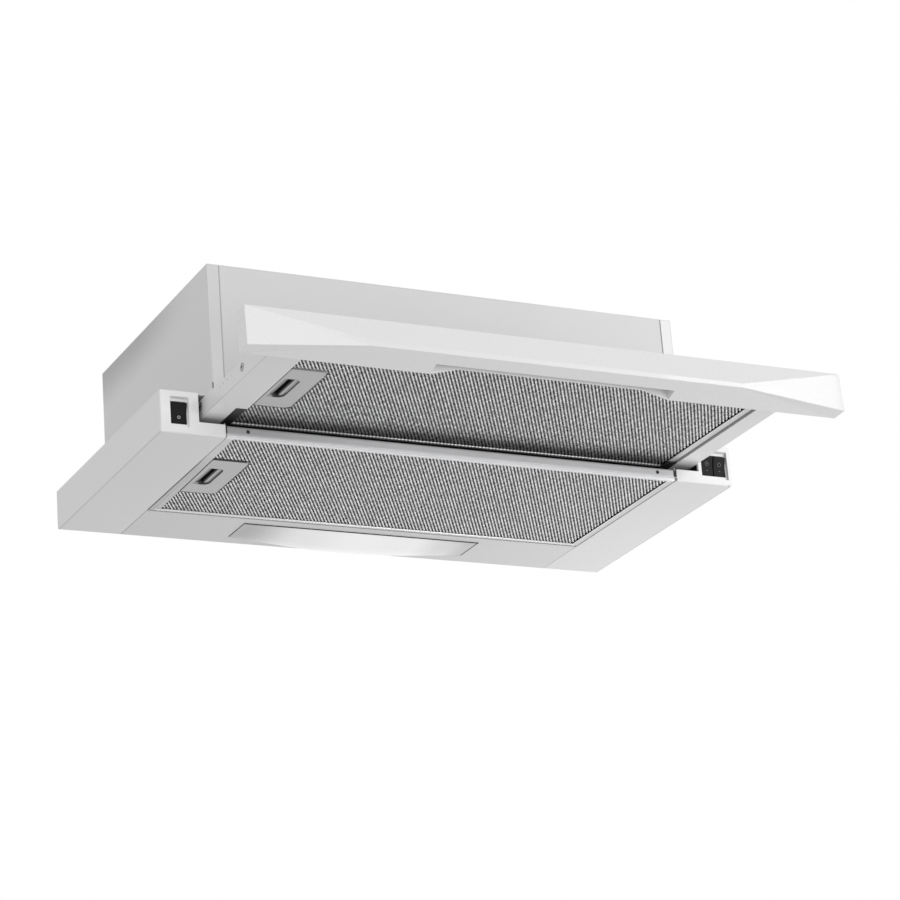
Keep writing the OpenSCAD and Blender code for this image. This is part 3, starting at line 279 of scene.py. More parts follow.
def grain_group():
    """The fine relief of a sprayed, moulded or rolled surface."""
    group = bpy.data.node_groups.new("fine_grain", "ShaderNodeTree")
    socket(group, "Scale", "INPUT", "NodeSocketFloat", 900.0)
    socket(group, "Stretch", "INPUT", "NodeSocketVector", (1, 1, 1))
    socket(group, "Depth", "INPUT", "NodeSocketFloat", 0.05)
    socket(group, "Normal", "OUTPUT", "NodeSocketVector")
    socket(group, "Value", "OUTPUT", "NodeSocketFloat")
    tree = group.nodes
    entry = tree.new("NodeGroupInput")
    leave = tree.new("NodeGroupOutput")
    place = tree.new("ShaderNodeTexCoord")
    stretch = tree.new("ShaderNodeVectorMath")
    stretch.operation = "MULTIPLY"
    noise = tree.new("ShaderNodeTexNoise")
    noise.inputs["Detail"].default_value = 3
    bump = tree.new("ShaderNodeBump")
    bump.inputs["Distance"].default_value = 0.0002
    link = group.links.new
    link(place.outputs["Object"], stretch.inputs[0])
    link(entry.outputs["Stretch"], stretch.inputs[1])
    link(stretch.outputs[0], noise.inputs["Vector"])
    link(entry.outputs["Scale"], noise.inputs["Scale"])
    link(noise.outputs["Fac"], bump.inputs["Height"])
    link(entry.outputs["Depth"], bump.inputs["Strength"])
    link(bump.outputs["Normal"], leave.inputs["Normal"])
    link(noise.outputs["Fac"], leave.inputs["Value"])
    return group


def object_axis(material, axis):
    """The place along one axis, in metres."""
    tree = material.node_tree
    place = tree.nodes.new("ShaderNodeTexCoord")
    parts = tree.nodes.new("ShaderNodeSeparateXYZ")
    tree.links.new(place.outputs["Object"], parts.inputs[0])
    return parts.outputs[axis]


def ramp_between(material, value, start, end):
    """Zero at the start and one at the end, both in millimetres."""
    spread = material.node_tree.nodes.new("ShaderNodeMapRange")
    spread.interpolation_type = "SMOOTHSTEP"
    spread.inputs["From Min"].default_value = start * MM
    spread.inputs["From Max"].default_value = end * MM
    material.node_tree.links.new(value, spread.inputs["Value"])
    return spread.outputs["Result"]


def line_mask(material, axis, place, half_width):
    """One on a line across an axis and zero beyond its half width."""
    tree = material.node_tree
    off = tree.nodes.new("ShaderNodeMath")
    off.operation = "SUBTRACT"
    off.inputs[1].default_value = place * MM
    size = tree.nodes.new("ShaderNodeMath")
    size.operation = "ABSOLUTE"
    tree.links.new(object_axis(material, axis), off.inputs[0])
    tree.links.new(off.outputs[0], size.inputs[0])
    return ramp_between(material, size.outputs[0], half_width, 0)


def both(material, first, second):
    """One only where both masks are."""
    tree = material.node_tree
    product = tree.nodes.new("ShaderNodeMath")
    product.operation = "MULTIPLY"
    tree.links.new(first, product.inputs[0])
    tree.links.new(second, product.inputs[1])
    return product.outputs[0]


def darken(material, mask, depth):
    """Takes a share of the tone away where the mask is one."""
    tree = material.node_tree
    entry = tree.nodes["Principled BSDF"].inputs["Base Color"]
    colour = entry.links[0].from_socket
    keep = tree.nodes.new("ShaderNodeMath")
    keep.operation = "MULTIPLY_ADD"
    keep.inputs[1].default_value = -depth
    keep.inputs[2].default_value = 1.0
    scale = tree.nodes.new("ShaderNodeVectorMath")
    scale.operation = "SCALE"
    tree.links.new(mask, keep.inputs[0])
    tree.links.new(colour, scale.inputs[0])
    tree.links.new(keep.outputs[0], scale.inputs["Scale"])
    tree.links.new(scale.outputs[0], entry)


MOTTLE = mottle_group()
GRAIN = grain_group()
ROUGH_SPREAD = 0.1


def finish(name, tone, rough, mottle, grain, metal=0.0, stretch=(1, 1, 1), coat=0.0, specular=0.5):
    """A surface with a wandering tone, a fine grain and roughness that follows the grain."""
    material = bpy.data.materials.new(name)
    material.use_nodes = True
    tree = material.node_tree
    shader = tree.nodes["Principled BSDF"]
    colour = tree.nodes.new("ShaderNodeGroup")
    colour.node_tree = MOTTLE
    colour.inputs["Tone"].default_value = (*tone, 1)
    colour.inputs["Scale"].default_value = mottle[0]
    colour.inputs["Spread"].default_value = mottle[1]
    relief = tree.nodes.new("ShaderNodeGroup")
    relief.node_tree = GRAIN
    relief.inputs["Scale"].default_value = grain[0]
    relief.inputs["Depth"].default_value = grain[1]
    relief.inputs["Stretch"].default_value = stretch
    spread = tree.nodes.new("ShaderNodeMapRange")
    spread.inputs["To Min"].default_value = rough - ROUGH_SPREAD
    spread.inputs["To Max"].default_value = rough + ROUGH_SPREAD
    link = tree.links.new
    link(colour.outputs["Color"], shader.inputs["Base Color"])
    link(relief.outputs["Normal"], shader.inputs["Normal"])
    link(relief.outputs["Value"], spread.inputs["Value"])
    link(spread.outputs["Result"], shader.inputs["Roughness"])
    shader.inputs["Metallic"].default_value = metal
    shader.inputs["Coat Weight"].default_value = coat
    shader.inputs["Specular IOR Level"].default_value = specular
    return material


def outline_group():
    """How near a point lies to the outline of a rounded rectangle in the plane of X and Y."""
    group = bpy.data.node_groups.new("rounded_outline", "ShaderNodeTree")
    socket(group, "Centre", "INPUT", "NodeSocketVector", (0, 0, 0))
    socket(group, "Half", "INPUT", "NodeSocketVector", (0.01, 0.01, 0))
    socket(group, "Radius", "INPUT", "NodeSocketFloat", 0.002)
    socket(group, "Width", "INPUT", "NodeSocketFloat", 0.0005)
    socket(group, "Mask", "OUTPUT", "NodeSocketFloat")
    tree = group.nodes
    link = group.links.new
    entry = tree.new("NodeGroupInput")
    leave = tree.new("NodeGroupOutput")
    place = tree.new("ShaderNodeTexCoord")

    def vector(operation, first, second=None):
        node = tree.new("ShaderNodeVectorMath")
        node.operation = operation
        link(first, node.inputs[0])
        if second is not None:
            link(second, node.inputs[1])
        return node

    def number(operation, first, second):
        node = tree.new("ShaderNodeMath")
        node.operation = operation
        link(first, node.inputs[0])
        if isinstance(second, (int, float)):
            node.inputs[1].default_value = second
        else:
            link(second, node.inputs[1])
        return node.outputs[0]

    from_centre = vector("SUBTRACT", place.outputs["Object"], entry.outputs["Centre"])
    folded = vector("ABSOLUTE", from_centre.outputs[0])
    beyond = vector("SUBTRACT", folded.outputs[0], entry.outputs["Half"])
    parts = tree.new("ShaderNodeSeparateXYZ")
    link(beyond.outputs[0], parts.inputs[0])
    corner = tree.new("ShaderNodeCombineXYZ")
    link(number("MAXIMUM", parts.outputs["X"], 0.0), corner.inputs["X"])
    link(number("MAXIMUM", parts.outputs["Y"], 0.0), corner.inputs["Y"])
    outside = vector("LENGTH", corner.outputs[0]).outputs["Value"]
    inside = number("MINIMUM", number("MAXIMUM", parts.outputs["X"], parts.outputs["Y"]), 0.0)
    reach = number("SUBTRACT", number("ADD", outside, inside), entry.outputs["Radius"])
    near = tree.new("ShaderNodeMapRange")
    near.inputs["From Min"].default_value = 1.0
    near.inputs["From Max"].default_value = 0.0
    absolute = tree.new("ShaderNodeMath")
    absolute.operation = "ABSOLUTE"
    link(reach, absolute.inputs[0])
    link(number("DIVIDE", absolute.outputs[0], entry.outputs["Width"]), near.inputs["Value"])
    link(near.outputs["Result"], leave.inputs["Mask"])
    return group


OUTLINE = outline_group()

# Measures of the filters, in millimetres.
MESH_PITCH = (3.7, 6.04)
FILTER_HALF = 235.0
SIDE_LIP = 7.5
FRONT_LIP = 3.5
REAR_LIP = 4.5
PLATE_WIDTH = 38.5
PLATE_LENGTH = 88.0
# Where painted shade lines the inner edge of each handle plate.
PLATE_EDGE_X = {"fixed": -227.3, "drawer": -224.2}
SLOT_CENTRE_X = -211.75
SLOT_HALF = (6.75, 21.75)
SLOT_RADIUS = 6.0
# The width of the painted shade round the slot, and where the painted shade left of the latch's tab
# stops.
SLOT_EDGE = 0.8
TAB_LIGHT_X = -208.9
# Where painted shade turns the slot and the latch black, above the filter's lower face.
SCOOP_SHADE = (1.2, 4.4)
LATCH_SHADE = (3.0, 4.4)
DEEP_SHADE = 0.97
END_SHADE_HALF_WIDTH = 1.2


def rolled_finish(kind):
    """Rolled aluminium, with painted shade along its two ends and its left lip, and painted light
    on its front lip: lighter, with two bright lines and a dark one.
    """
    material = finish(kind + "_rolled_aluminium", (0.7, 0.7, 0.71), 0.38, metal=0.35,
                      mottle=(40, 0.1), grain=(500, 0.08), stretch=(0.06, 1, 1))
    low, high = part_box(kind + "_filter_frame")
    front, rear = low.y / MM, high.y / MM
    along_x, along_y = object_axis(material, "X"), object_axis(material, "Y")
    # Painted shade on the left lip and along both ends of the frame.
    left_lip_shade = ramp_between(material, along_x, -223, -228)
    left_end_shade = line_mask(material, "X", -FILTER_HALF, END_SHADE_HALF_WIDTH)
    if kind == "fixed":
        # Beside the front of the filter the left lip and end get no painted shade, so the frame is
        # as light as the base next to it.
        length = rear - front
        behind = ramp_between(material, along_y, front + 0.18 * length, front + 0.42 * length)
        left_lip_shade = both(material, left_lip_shade, behind)
        left_end_shade = both(material, left_end_shade, behind)
    darken(material, left_lip_shade, 0.2)
    for end in (left_end_shade, line_mask(material, "X", FILTER_HALF, END_SHADE_HALF_WIDTH)):
        darken(material, end, 0.9)
    lip_end = front + FRONT_LIP
    # Painted light on the front lip, with two lines of painted highlight and one of painted shade.
    darken(material, ramp_between(material, along_y, lip_end + 0.4, lip_end), -0.22)
    for y, depth in ((front + 0.4, -0.15), (front + 1.5, 0.3), (lip_end - 0.2, -0.15)):
        darken(material, line_mask(material, "Y", y, 0.7), depth)
    return material


def plate_finish(kind, z):
    """Grey plastic, with painted shade black down inside the slot, dark round the slot's edge,
    along the plate's inner edge and, on the fixed filter, along the plate's front edge.
    """
    low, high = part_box(kind + "_filter_frame")
    material = finish(kind + "_grey_plate", (0.53, 0.53, 0.53), 0.42, mottle=(20, 0.05),
                      grain=(1500, 0.08))
    edge = material.node_tree.nodes.new("ShaderNodeGroup")
    edge.node_tree = OUTLINE
    edge.inputs["Centre"].default_value = (SLOT_CENTRE_X * MM, (low.y + high.y) / 2, 0)
    edge.inputs["Half"].default_value = ((SLOT_HALF[0] - SLOT_RADIUS) * MM,
                                         (SLOT_HALF[1] - SLOT_RADIUS) * MM, 1)
    edge.inputs["Radius"].default_value = SLOT_RADIUS * MM
    edge.inputs["Width"].default_value = SLOT_EDGE * MM
    # Painted shade round the slot's edge and along the plate's inner edge.
    darken(material, edge.outputs["Mask"], 0.85)
    darken(material, line_mask(material, "X", PLATE_EDGE_X[kind], 1.0), 0.95)
    if kind == "fixed":
        # Painted shadow along the fixed plate's front edge.
        plate_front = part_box("fixed_filter_handle")[0].y / MM
        darken(material, line_mask(material, "Y", plate_front + 0.2, 1.3), 0.9)
    # Painted shade, black down inside the slot.
    start, end = SCOOP_SHADE
    up = ramp_between(material, object_axis(material, "Z"), z + start, z + end)
    darken(material, up, DEEP_SHADE)
    return material


def latch_finish(kind, z):
    """The latch: its tab is light, and painted shade blackens the slider above it and the strip
    beside the tab.
    """
    material = finish(kind + "_latch_grey", (0.6, 0.6, 0.6), 0.42, mottle=(20, 0.05),
                      grain=(1500, 0.08))
    # Painted shade, black above the tab and beside it.
    start, end = LATCH_SHADE
    up = ramp_between(material, object_axis(material, "Z"), z + start, z + end)
    darken(material, up, DEEP_SHADE)
    inward = ramp_between(material, object_axis(material, "X"), TAB_LIGHT_X, TAB_LIGHT_X - 0.6)
    darken(material, inward, DEEP_SHADE)
    return material


def enamel(name, level):
    """White paint on sheet steel."""
    return finish(name, (level, level, level), 0.38, mottle=(6, 0.05), grain=(700, 0.05), coat=0.05)


def base_enamel():
    """The paint of the base's end channels, darker along the lower outer fold, with painted light
    on the left channel's outer face.
    """
    material = enamel("base_enamel", 0.725)
    low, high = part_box("base_side_right")
    across = material.node_tree.nodes.new("ShaderNodeMath")
    across.operation = "ABSOLUTE"
    material.node_tree.links.new(object_axis(material, "X"), across.inputs[0])
    edge_x, edge_z = high.x / MM, low.z / MM
    near_x = ramp_between(material, across.outputs[0], edge_x - 1.2, edge_x - 0.5)
    near_z = ramp_between(material, object_axis(material, "Z"), edge_z + 1.2, edge_z + 0.5)
    darken(material, both(material, near_x, near_z), 0.26)
    # Painted light on the left channel's outer face.
    left_face_light = ramp_between(material, object_axis(material, "X"), 0.4 - edge_x, 0.05 - edge_x)
    darken(material, left_face_light, -0.08)
    return material


def seamed_enamel(node, level, depths):
    """The paint of a panel whose left and right ends lie in the shadow of a seam."""
    material = enamel(node + "_enamel", level)
    low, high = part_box(node)
    for x, depth in zip((low.x, high.x), depths):
        darken(material, line_mask(material, "X", x / MM, 1.5), depth)
    return material


def shaded_recess():
    """White plastic with painted shade on the outer wall of the double rocker's recess."""
    material = finish("shaded_white", (0.9, 0.9, 0.9), 0.38, mottle=(9, 0.03), grain=(1600, 0.05))
    wall_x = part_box("speed_rocker")[1].x / MM + 1.2
    face_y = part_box("bezel_right")[0].y / MM
    wall = line_mask(material, "X", wall_x, 1.6)
    inside = ramp_between(material, object_axis(material, "Y"), face_y + 0.1, face_y + 0.7)
    darken(material, both(material, wall, inside), 0.65)
    return material


def side_enamel(node):
    """The paint of the housing's sides, with painted light on the right flange; on the left,
    painted shade up and back, and painted light low on the flange.
    """
    material = enamel(node + "_enamel", 0.7)
    low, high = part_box(node)
    left = low.x < 0
    outer, inward = (low.x / MM, 1) if left else (high.x / MM, -1)
    start, end = outer + inward * 0.6, outer + inward * 1.2
    flange = ramp_between(material, object_axis(material, "X"), start, end)
    # Painted light on the right flange, a little painted shade on the left flange.
    darken(material, flange, 0.05 if left else -0.2)
    if left:
        top = high.z / MM
        # Painted shade towards the top and back of the left side, and painted light low on its
        # flange.
        up = ramp_between(material, object_axis(material, "Z"), top - 46, top + 3)
        back = ramp_between(material, object_axis(material, "Y"), -120, 60)
        darken(material, both(material, up, back), 0.4)
        down = ramp_between(material, object_axis(material, "Z"), 75, 10)
        darken(material, both(material, flange, down), -0.17)
    return material


def arm_enamel():
    """The painted sheet of the arms: darker along the fold, with a painted highlight along the left
    arm's inner edge.
    """
    material = finish("arm_enamel", (0.74, 0.74, 0.74), 0.32, mottle=(6, 0.05), grain=(700, 0.05),
                      coat=0.15)
    fold_z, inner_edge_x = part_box("arm_left")[0].z / MM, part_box("arm_left")[1].x / MM
    darken(material, line_mask(material, "Z", fold_z + 0.7, 0.6), 0.4)
    # Painted highlight along the left arm's inner edge.
    darken(material, line_mask(material, "X", inner_edge_x, 1.0), -0.4)
    return material


def crossbar_steel():
    """Thin steel with painted shade towards its left end and along its upper edge, and a painted
    highlight along its lower edge.
    """
    material = finish("crossbar_steel", (0.66, 0.66, 0.67), 0.4, metal=0.2, mottle=(30, 0.12),
                      grain=(500, 0.08), stretch=(0.05, 1, 1))
    # Painted shade towards the left end.
    darken(material, ramp_between(material, object_axis(material, "X"), -60, -230), 0.3)
    top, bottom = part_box("crossbar")[1].z / MM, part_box("crossbar")[0].z / MM
    # Painted shade along the upper edge, a painted highlight along the lower edge.
    darken(material, line_mask(material, "Z", top, 2.2), 0.35)
    darken(material, line_mask(material, "Z", bottom, 1.6), -0.3)
    return material


# How brightly the lens glows along its length, from its left end at 0 to its right end at 1.
GLOW = ((0.05, 0.0), (0.27, 0.46), (0.48, 0.56), (0.7, 0.52), (0.84, 0.26), (0.93, 0.04))
GLOW_SPAN = (-0.135, 0.145)
GLOW_STRENGTH = 0.69


def opal_lens():
    """Opal plastic, lit from behind by the lamp, brightest over its middle."""
    material = finish("opal_lens", (0.52, 0.52, 0.52), 0.3, grain=(1500.0, 0.02), mottle=(60, 0.03))
    tree = material.node_tree
    shader = tree.nodes["Principled BSDF"]
    along = tree.nodes.new("ShaderNodeMapRange")
    along.inputs["From Min"].default_value, along.inputs["From Max"].default_value = GLOW_SPAN
    glow = tree.nodes.new("ShaderNodeValToRGB")
    glow.color_ramp.interpolation = "EASE"
    for at, level in GLOW:
        stop = glow.color_ramp.elements.new(at)
        stop.color = (level, level, level, 1)
    tree.links.new(object_axis(material, "X"), along.inputs["Value"])
    tree.links.new(along.outputs["Result"], glow.inputs["Fac"])
    tree.links.new(glow.outputs["Color"], shader.inputs["Emission Color"])
    shader.inputs["Emission Strength"].default_value = GLOW_STRENGTH
    return material


def frosted_bulb():
    material = finish("frosted_bulb", (0.95, 0.95, 0.92), 0.4, mottle=(80, 0.04),
                      grain=(1200, 0.03))
    shader = material.node_tree.nodes["Principled BSDF"]
    shader.inputs["Transmission Weight"].default_value = 0.5
    shader.inputs["Emission Color"].default_value = (1, 0.97, 0.9, 1)
    shader.inputs["Emission Strength"].default_value = 1.2
    return material


ENAMEL = finish("white_enamel", (0.7, 0.7, 0.7), 0.32, mottle=(6, 0.05), grain=(700, 0.05),
                coat=0.15)
MOULDED_WHITE = finish("moulded_white", (0.9, 0.9, 0.9), 0.38, mottle=(9, 0.03), grain=(1600, 0.05))
STRIP_WHITE = finish("strip_white", (0.77, 0.77, 0.77), 0.27, mottle=(5, 0.03), grain=(1200, 0.02),
                     coat=0.3)
# The inner mesh layers are real, but their near-black colour is painted shade.
PAD_METAL = finish("inner_mesh", (0.012, 0.012, 0.012), 0.6, metal=0.1, mottle=(420, 1.2),
                   grain=(520, 0.9), specular=0.1)
ZINC = finish("zinc_plate", (0.6, 0.61, 0.62), 0.34, metal=0.9, mottle=(60, 0.16), grain=(420, 0.1))
# The drawer's rear rail, coloured near black as painted shade: it lies in the shadow of the gap
# above the crossbar.
SHADED_ZINC = finish("shaded_zinc", (0.05, 0.05, 0.05), 0.5, metal=0.4, mottle=(60, 0.2),
                   grain=(420, 0.1))
CROSS_STEEL = crossbar_steel()
HEAD_ZINC = finish("screw_head", (0.6, 0.6, 0.6), 0.36, metal=0.3, mottle=(300, 0.2),
                   grain=(900, 0.1))
BRASS = finish("stamped_brass", (0.68, 0.53, 0.24), 0.34, metal=1.0, mottle=(90, 0.2),
               grain=(600, 0.1))
# Black moulded plastic, also the black of the painted shade in the screw recesses and beside the
# fixed filter's handle plate.
BLACK = finish("black_moulding_and_painted_shade", (0.028, 0.028, 0.03), 0.5, mottle=(40, 0.3), grain=(1400, 0.14))
ROCKER_BLACK = finish("rocker_black", (0.01, 0.01, 0.01), 0.4, mottle=(60, 0.3), grain=(1800, 0.05),
                      specular=0.12)
MARK_GREY = finish("mark_grey", (0.2, 0.2, 0.2), 0.45, mottle=(300, 0.15), grain=(2500, 0.05))
MARK_WHITE = finish("mark_white", (0.75, 0.75, 0.75), 0.45, mottle=(300, 0.15), grain=(2500, 0.05))
# Black rubber for the motor mounts, also the black of the painted shade pieces round the lens and
# on the crossbar.
RUBBER_AND_SHADE = finish("rubber_and_painted_shade", (0.03, 0.03, 0.03), 0.75, mottle=(90, 0.3), grain=(900, 0.3))
BRIGHT = finish("bright_reflector", (0.86, 0.86, 0.87), 0.16, metal=1.0, mottle=(30, 0.06),
                grain=(380, 0.06))
FLAP_GREY = finish("flap_grey", (0.3, 0.3, 0.3), 0.45, mottle=(40, 0.1), grain=(1100, 0.1))
SCROLL_GREY = finish("scroll_grey", (0.42, 0.42, 0.42), 0.5, mottle=(20, 0.1), grain=(900, 0.15))
ARM_ENAMEL = arm_enamel()
LENS = opal_lens()
BULB = frosted_bulb()


# ---- Painted sheets, mouldings and metal parts with rounded edges ----

# How far edges are rounded, in millimetres.
SHEET_ROUNDING = 0.3
MOULDED_ROUNDING = 0.5
STRIP_ROUNDING = 1.2
ROCKER_ROUNDING = 0.35
FRAME_ROUNDING = 0.2
PLATE_ROUNDING = 0.25
FACET_ANGLE = 14


def painted(node, body, material):
    dressed(node, body, "painted_sheet", material, SHEET_ROUNDING)


def dress_housing():
    for node in ("base_side_left", "base_side_right"):
        painted(node, "hood", base_enamel())
    painted("lamp_panel", "hood", seamed_enamel("lamp_panel", 0.655, (0.4, 0.15)))
    for node in ("side_panel_left", "side_panel_right"):
        painted(node, "hood", side_enamel(node))
    painted("back_panel", "hood", ENAMEL)
    paint_node("top_panel", ENAMEL)
    painted("front_panel", "hood", seamed_enamel("front_panel", 0.68, (0.3, 0.95)))
    dressed("bezel_left", "hood", "white_plastic", MOULDED_WHITE, MOULDED_ROUNDING, 3)
    dressed("bezel_right", "hood", "white_plastic", shaded_recess(), MOULDED_ROUNDING, 3)
    paint_node("crossbar", CROSS_STEEL)


def dress_drawer():
    for node in ("arm_left", "arm_right"):
        paint_node(node, ARM_ENAMEL)
    painted("drawer_front_rail", "drawer", ENAMEL)
    # The rear rail in painted shade.
    dressed("drawer_rear_rail", "drawer", "zinc_steel", SHADED_ZINC, SHEET_ROUNDING)
    dressed("front_strip", "drawer", "white_plastic", STRIP_WHITE, STRIP_ROUNDING, 4, FACET_ANGLE)
    dressed("filter_pads", "drawer", "black_plastic", BLACK, SHEET_ROUNDING)


def dress_switches():
    for node, body in (("lamp_rocker", "lamp_switch"), ("power_rocker", "power_switch"),
                       ("speed_rocker", "speed_switch")):
        dressed(node, body, "rocker_plastic", ROCKER_BLACK, ROCKER_ROUNDING, 3)
    for node in ("lamp_switch_body", "fan_switch_body"):
        dressed(node, "hood", "black_plastic", BLACK, SHEET_ROUNDING)


def dress_hidden_parts():
    for node in ("slide_fixed_left", "slide_fixed_right", "slide_moving_left", "slide_moving_right",
                 "motor_shaft", "motor", "motor_bracket", "collar_screws", "panel_screws",
                 "fixed_filter_spring", "drawer_filter_spring", "slide_screws"):
        paint_node(node, ZINC)
    for node in ("switch_terminals", "ball_cage_left", "ball_cage_right"):
        paint_node(node, BRASS)
    for node in ("capacitor", "terminal_box", "cable_gland", "impeller"):
        paint_node(node, BLACK)
    for node in ("scroll_left", "scroll_right"):
        paint_node(node, SCROLL_GREY)
    for node in ("flap_front", "flap_rear"):
        paint_node(node, FLAP_GREY)
    paint_node("motor_mounts", RUBBER_AND_SHADE)
    paint_node("lamp_holder", MOULDED_WHITE)
    paint_node("lamp_reflector", BRIGHT)
    paint_node("lamp_bulb", BULB)
    paint_node("lamp_lens", LENS)
    paint_node("duct_collar", BLACK)


# ---- Grease filters ----

STRAND_OVERLAP = 1.08


def add_strand(bm, start, end, width, thick, tilt, lift=0.0):
    """One strand of expanded sheet: a thin bar, open at its ends, turned about its length."""
    start, end = Vector(start) * MM, Vector(end) * MM
    run = end - start
    made = bmesh.ops.create_cube(bm, size=1.0)["verts"]
    caps = [f for f in {face for v in made for face in v.link_faces} if abs(f.normal.y) > 0.9]
    bmesh.ops.delete(bm, geom=caps, context="FACES_ONLY")
    bmesh.ops.scale(bm, verts=made, vec=(width * MM, run.length * STRAND_OVERLAP, thick * MM))
    roll = Matrix.Rotation(radians(tilt), 4, "Y")
    aim = Vector((0, 1, 0)).rotation_difference(run.normalized()).to_matrix().to_4x4()
    middle = (start + end) / 2 + Vector((0, 0, lift * MM))
    bmesh.ops.transform(bm, verts=made, matrix=Matrix.Translation(middle) @ aim @ roll)


def mesh_finish(kind):
    """Expanded aluminium; the drawer's has painted shadow near its rear edge."""
    material = finish(kind + "_expanded_aluminium", (0.85, 0.85, 0.86), 0.34, metal=0.3,
                      mottle=(260, 2.4), grain=(2200, 0.1))
    if kind == "drawer":
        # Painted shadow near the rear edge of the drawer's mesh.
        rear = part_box("drawer_filter_frame")[1].y / MM
        rear_shadow = ramp_between(material, object_axis(material, "Y"), rear - 44, rear - 14)
        darken(material, rear_shadow, 0.42)
    return material


# The two runs of a mesh cell: sense, width, thickness, tilt in degrees and lift off the sheet.
STRANDS = ((1, 1.4, 0.35, 12, 0), (-1, 0.36, 0.2, 0, 0.25))
CELL_RISE = 0.22
SIDEWAYS_WAVER = 0.09
CRUMPLE = 0.3
# How fast they come and go, in radians per millimetre along X and Y.
WAVER_TURNS = (2.7, 1.9)
CRUMPLE_TURNS = ((1.3, -2.3), (0.4, 0.9))
# How far inside the lips the mesh is cut off, on the right and at the rear.
SHEET_TRIM = (1.4, 1.6)


def swell(x, y, turns):
    return sin(x * turns[0] + y * turns[1])


def trimmed(bm, place, normal):
    """Cuts a sheet off past a plane, in millimetres."""
    bmesh.ops.bisect_plane(bm, geom=bm.verts[:] + bm.edges[:] + bm.faces[:],
                           plane_co=Vector(place) * MM, plane_no=normal, clear_outer=True)


def expanded_sheet(name, node, body, z, face, material):
    """A sheet of diamond openings over a filter's window, cut out round its handle."""
    low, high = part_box(node)
    y0 = low.y / MM + FRONT_LIP
    y1 = high.y / MM - REAR_LIP
    half = FILTER_HALF - SIDE_LIP
    px, py = MESH_PITCH
    bm = bmesh.new()
    rise = CELL_RISE * face
    centre = Vector((-half + px / 2, y0 + py / 2, z))
    for sense, width, thick, tilt, lift in STRANDS:
        rear = centre + Vector((sense * px / 2, py / 2, -rise * sense))
        front = centre + Vector((-sense * px / 2, -py / 2, -rise * sense))
        add_strand(bm, centre, rear, width, thick, tilt * face, lift * face)
        add_strand(bm, front, centre, width, thick, tilt * face, lift * face)
    piece = new_piece(name, bm, material)
    for axis, pitch, span in ((0, px, 2 * half), (1, py, y1 - y0)):
        array = piece.modifiers.new("rows", "ARRAY")
        array.use_relative_offset = False
        array.use_constant_offset = True
        step = [0, 0, 0]
        step[axis] = pitch * MM
        array.constant_offset_displace = step
        array.count = int(span / pitch) + 1
    view = bpy.context.evaluated_depsgraph_get()
    spread = bpy.data.meshes.new_from_object(piece.evaluated_get(view))
    piece.modifiers.clear()
    bm = bmesh.new()
    bm.from_mesh(spread)
    trimmed(bm, (half - SHEET_TRIM[0], 0, 0), (1, 0, 0))
    trimmed(bm, (0, y1 - SHEET_TRIM[1], 0), (0, 1, 0))
    first, second = CRUMPLE_TURNS
    for vert in bm.verts:
        x, y = vert.co.x / MM, vert.co.y / MM
        vert.co.x += swell(x, y, WAVER_TURNS) * SIDEWAYS_WAVER * MM
        vert.co.z += swell(x, y, first) * swell(x, y, second) * CRUMPLE * MM
    pocket_x = (PLATE_WIDTH - half) * MM
    middle = (low.y + high.y) / 2
    pocket_y = PLATE_LENGTH / 2 * MM
    hidden = [v for v in bm.verts if v.co.x < pocket_x and abs(v.co.y - middle) < pocket_y]
    bmesh.ops.delete(bm, geom=hidden, context="VERTS")
    bm.to_mesh(piece.data)
    bm.free()
    finish_piece(piece, body, "filter_aluminium")


# The pad's heights in the filter, its gaps to the frame and to the handle, and its relief.
PAD_HEIGHTS = (2.6, 6.2)
PAD_FRAME_GAP = 1.2
PAD_PLATE_GAP = 0.6
PAD_CUTS = 14
PAD_TURNS = (761.0, 547.0)
PAD_RELIEF = 0.25


def inner_pad(name, node, body, *stands_for):
    """The layers of crumpled mesh between the two outer sheets, coloured near black as painted
    shade.
    """
    low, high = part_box(node)
    z0, z1 = (low.z / MM + height for height in PAD_HEIGHTS)
    x1 = FILTER_HALF - PAD_FRAME_GAP
    inner_x = PLATE_WIDTH - FILTER_HALF + SIDE_LIP + PAD_PLATE_GAP
    y0, y1 = low.y / MM + PAD_FRAME_GAP, high.y / MM - PAD_FRAME_GAP
    middle = (y0 + y1) / 2
    pocket = PLATE_LENGTH / 2 + PAD_PLATE_GAP
    bm = bmesh.new()
    add_block(bm, (inner_x, y0, z0), (x1, y1, z1))
    add_block(bm, (-x1, y0, z0), (inner_x, middle - pocket, z1))
    add_block(bm, (-x1, middle + pocket, z0), (inner_x, y1, z1))
    bmesh.ops.subdivide_edges(bm, edges=bm.edges, cuts=PAD_CUTS, use_grid_fill=True)
    for vert in bm.verts:
        wave = ((vert.co.x * PAD_TURNS[0]) % 1.0 + (vert.co.y * PAD_TURNS[1]) % 1.0) * PAD_RELIEF
        if vert.co.z < (z0 + 0.1) * MM:
            vert.co.z += wave * MM
        elif vert.co.z > (z1 - 0.1) * MM:
            vert.co.z -= wave * MM
    piece = new_piece(name, bm, PAD_METAL)
    finish_piece(piece, body, "filter_aluminium", *stands_for)


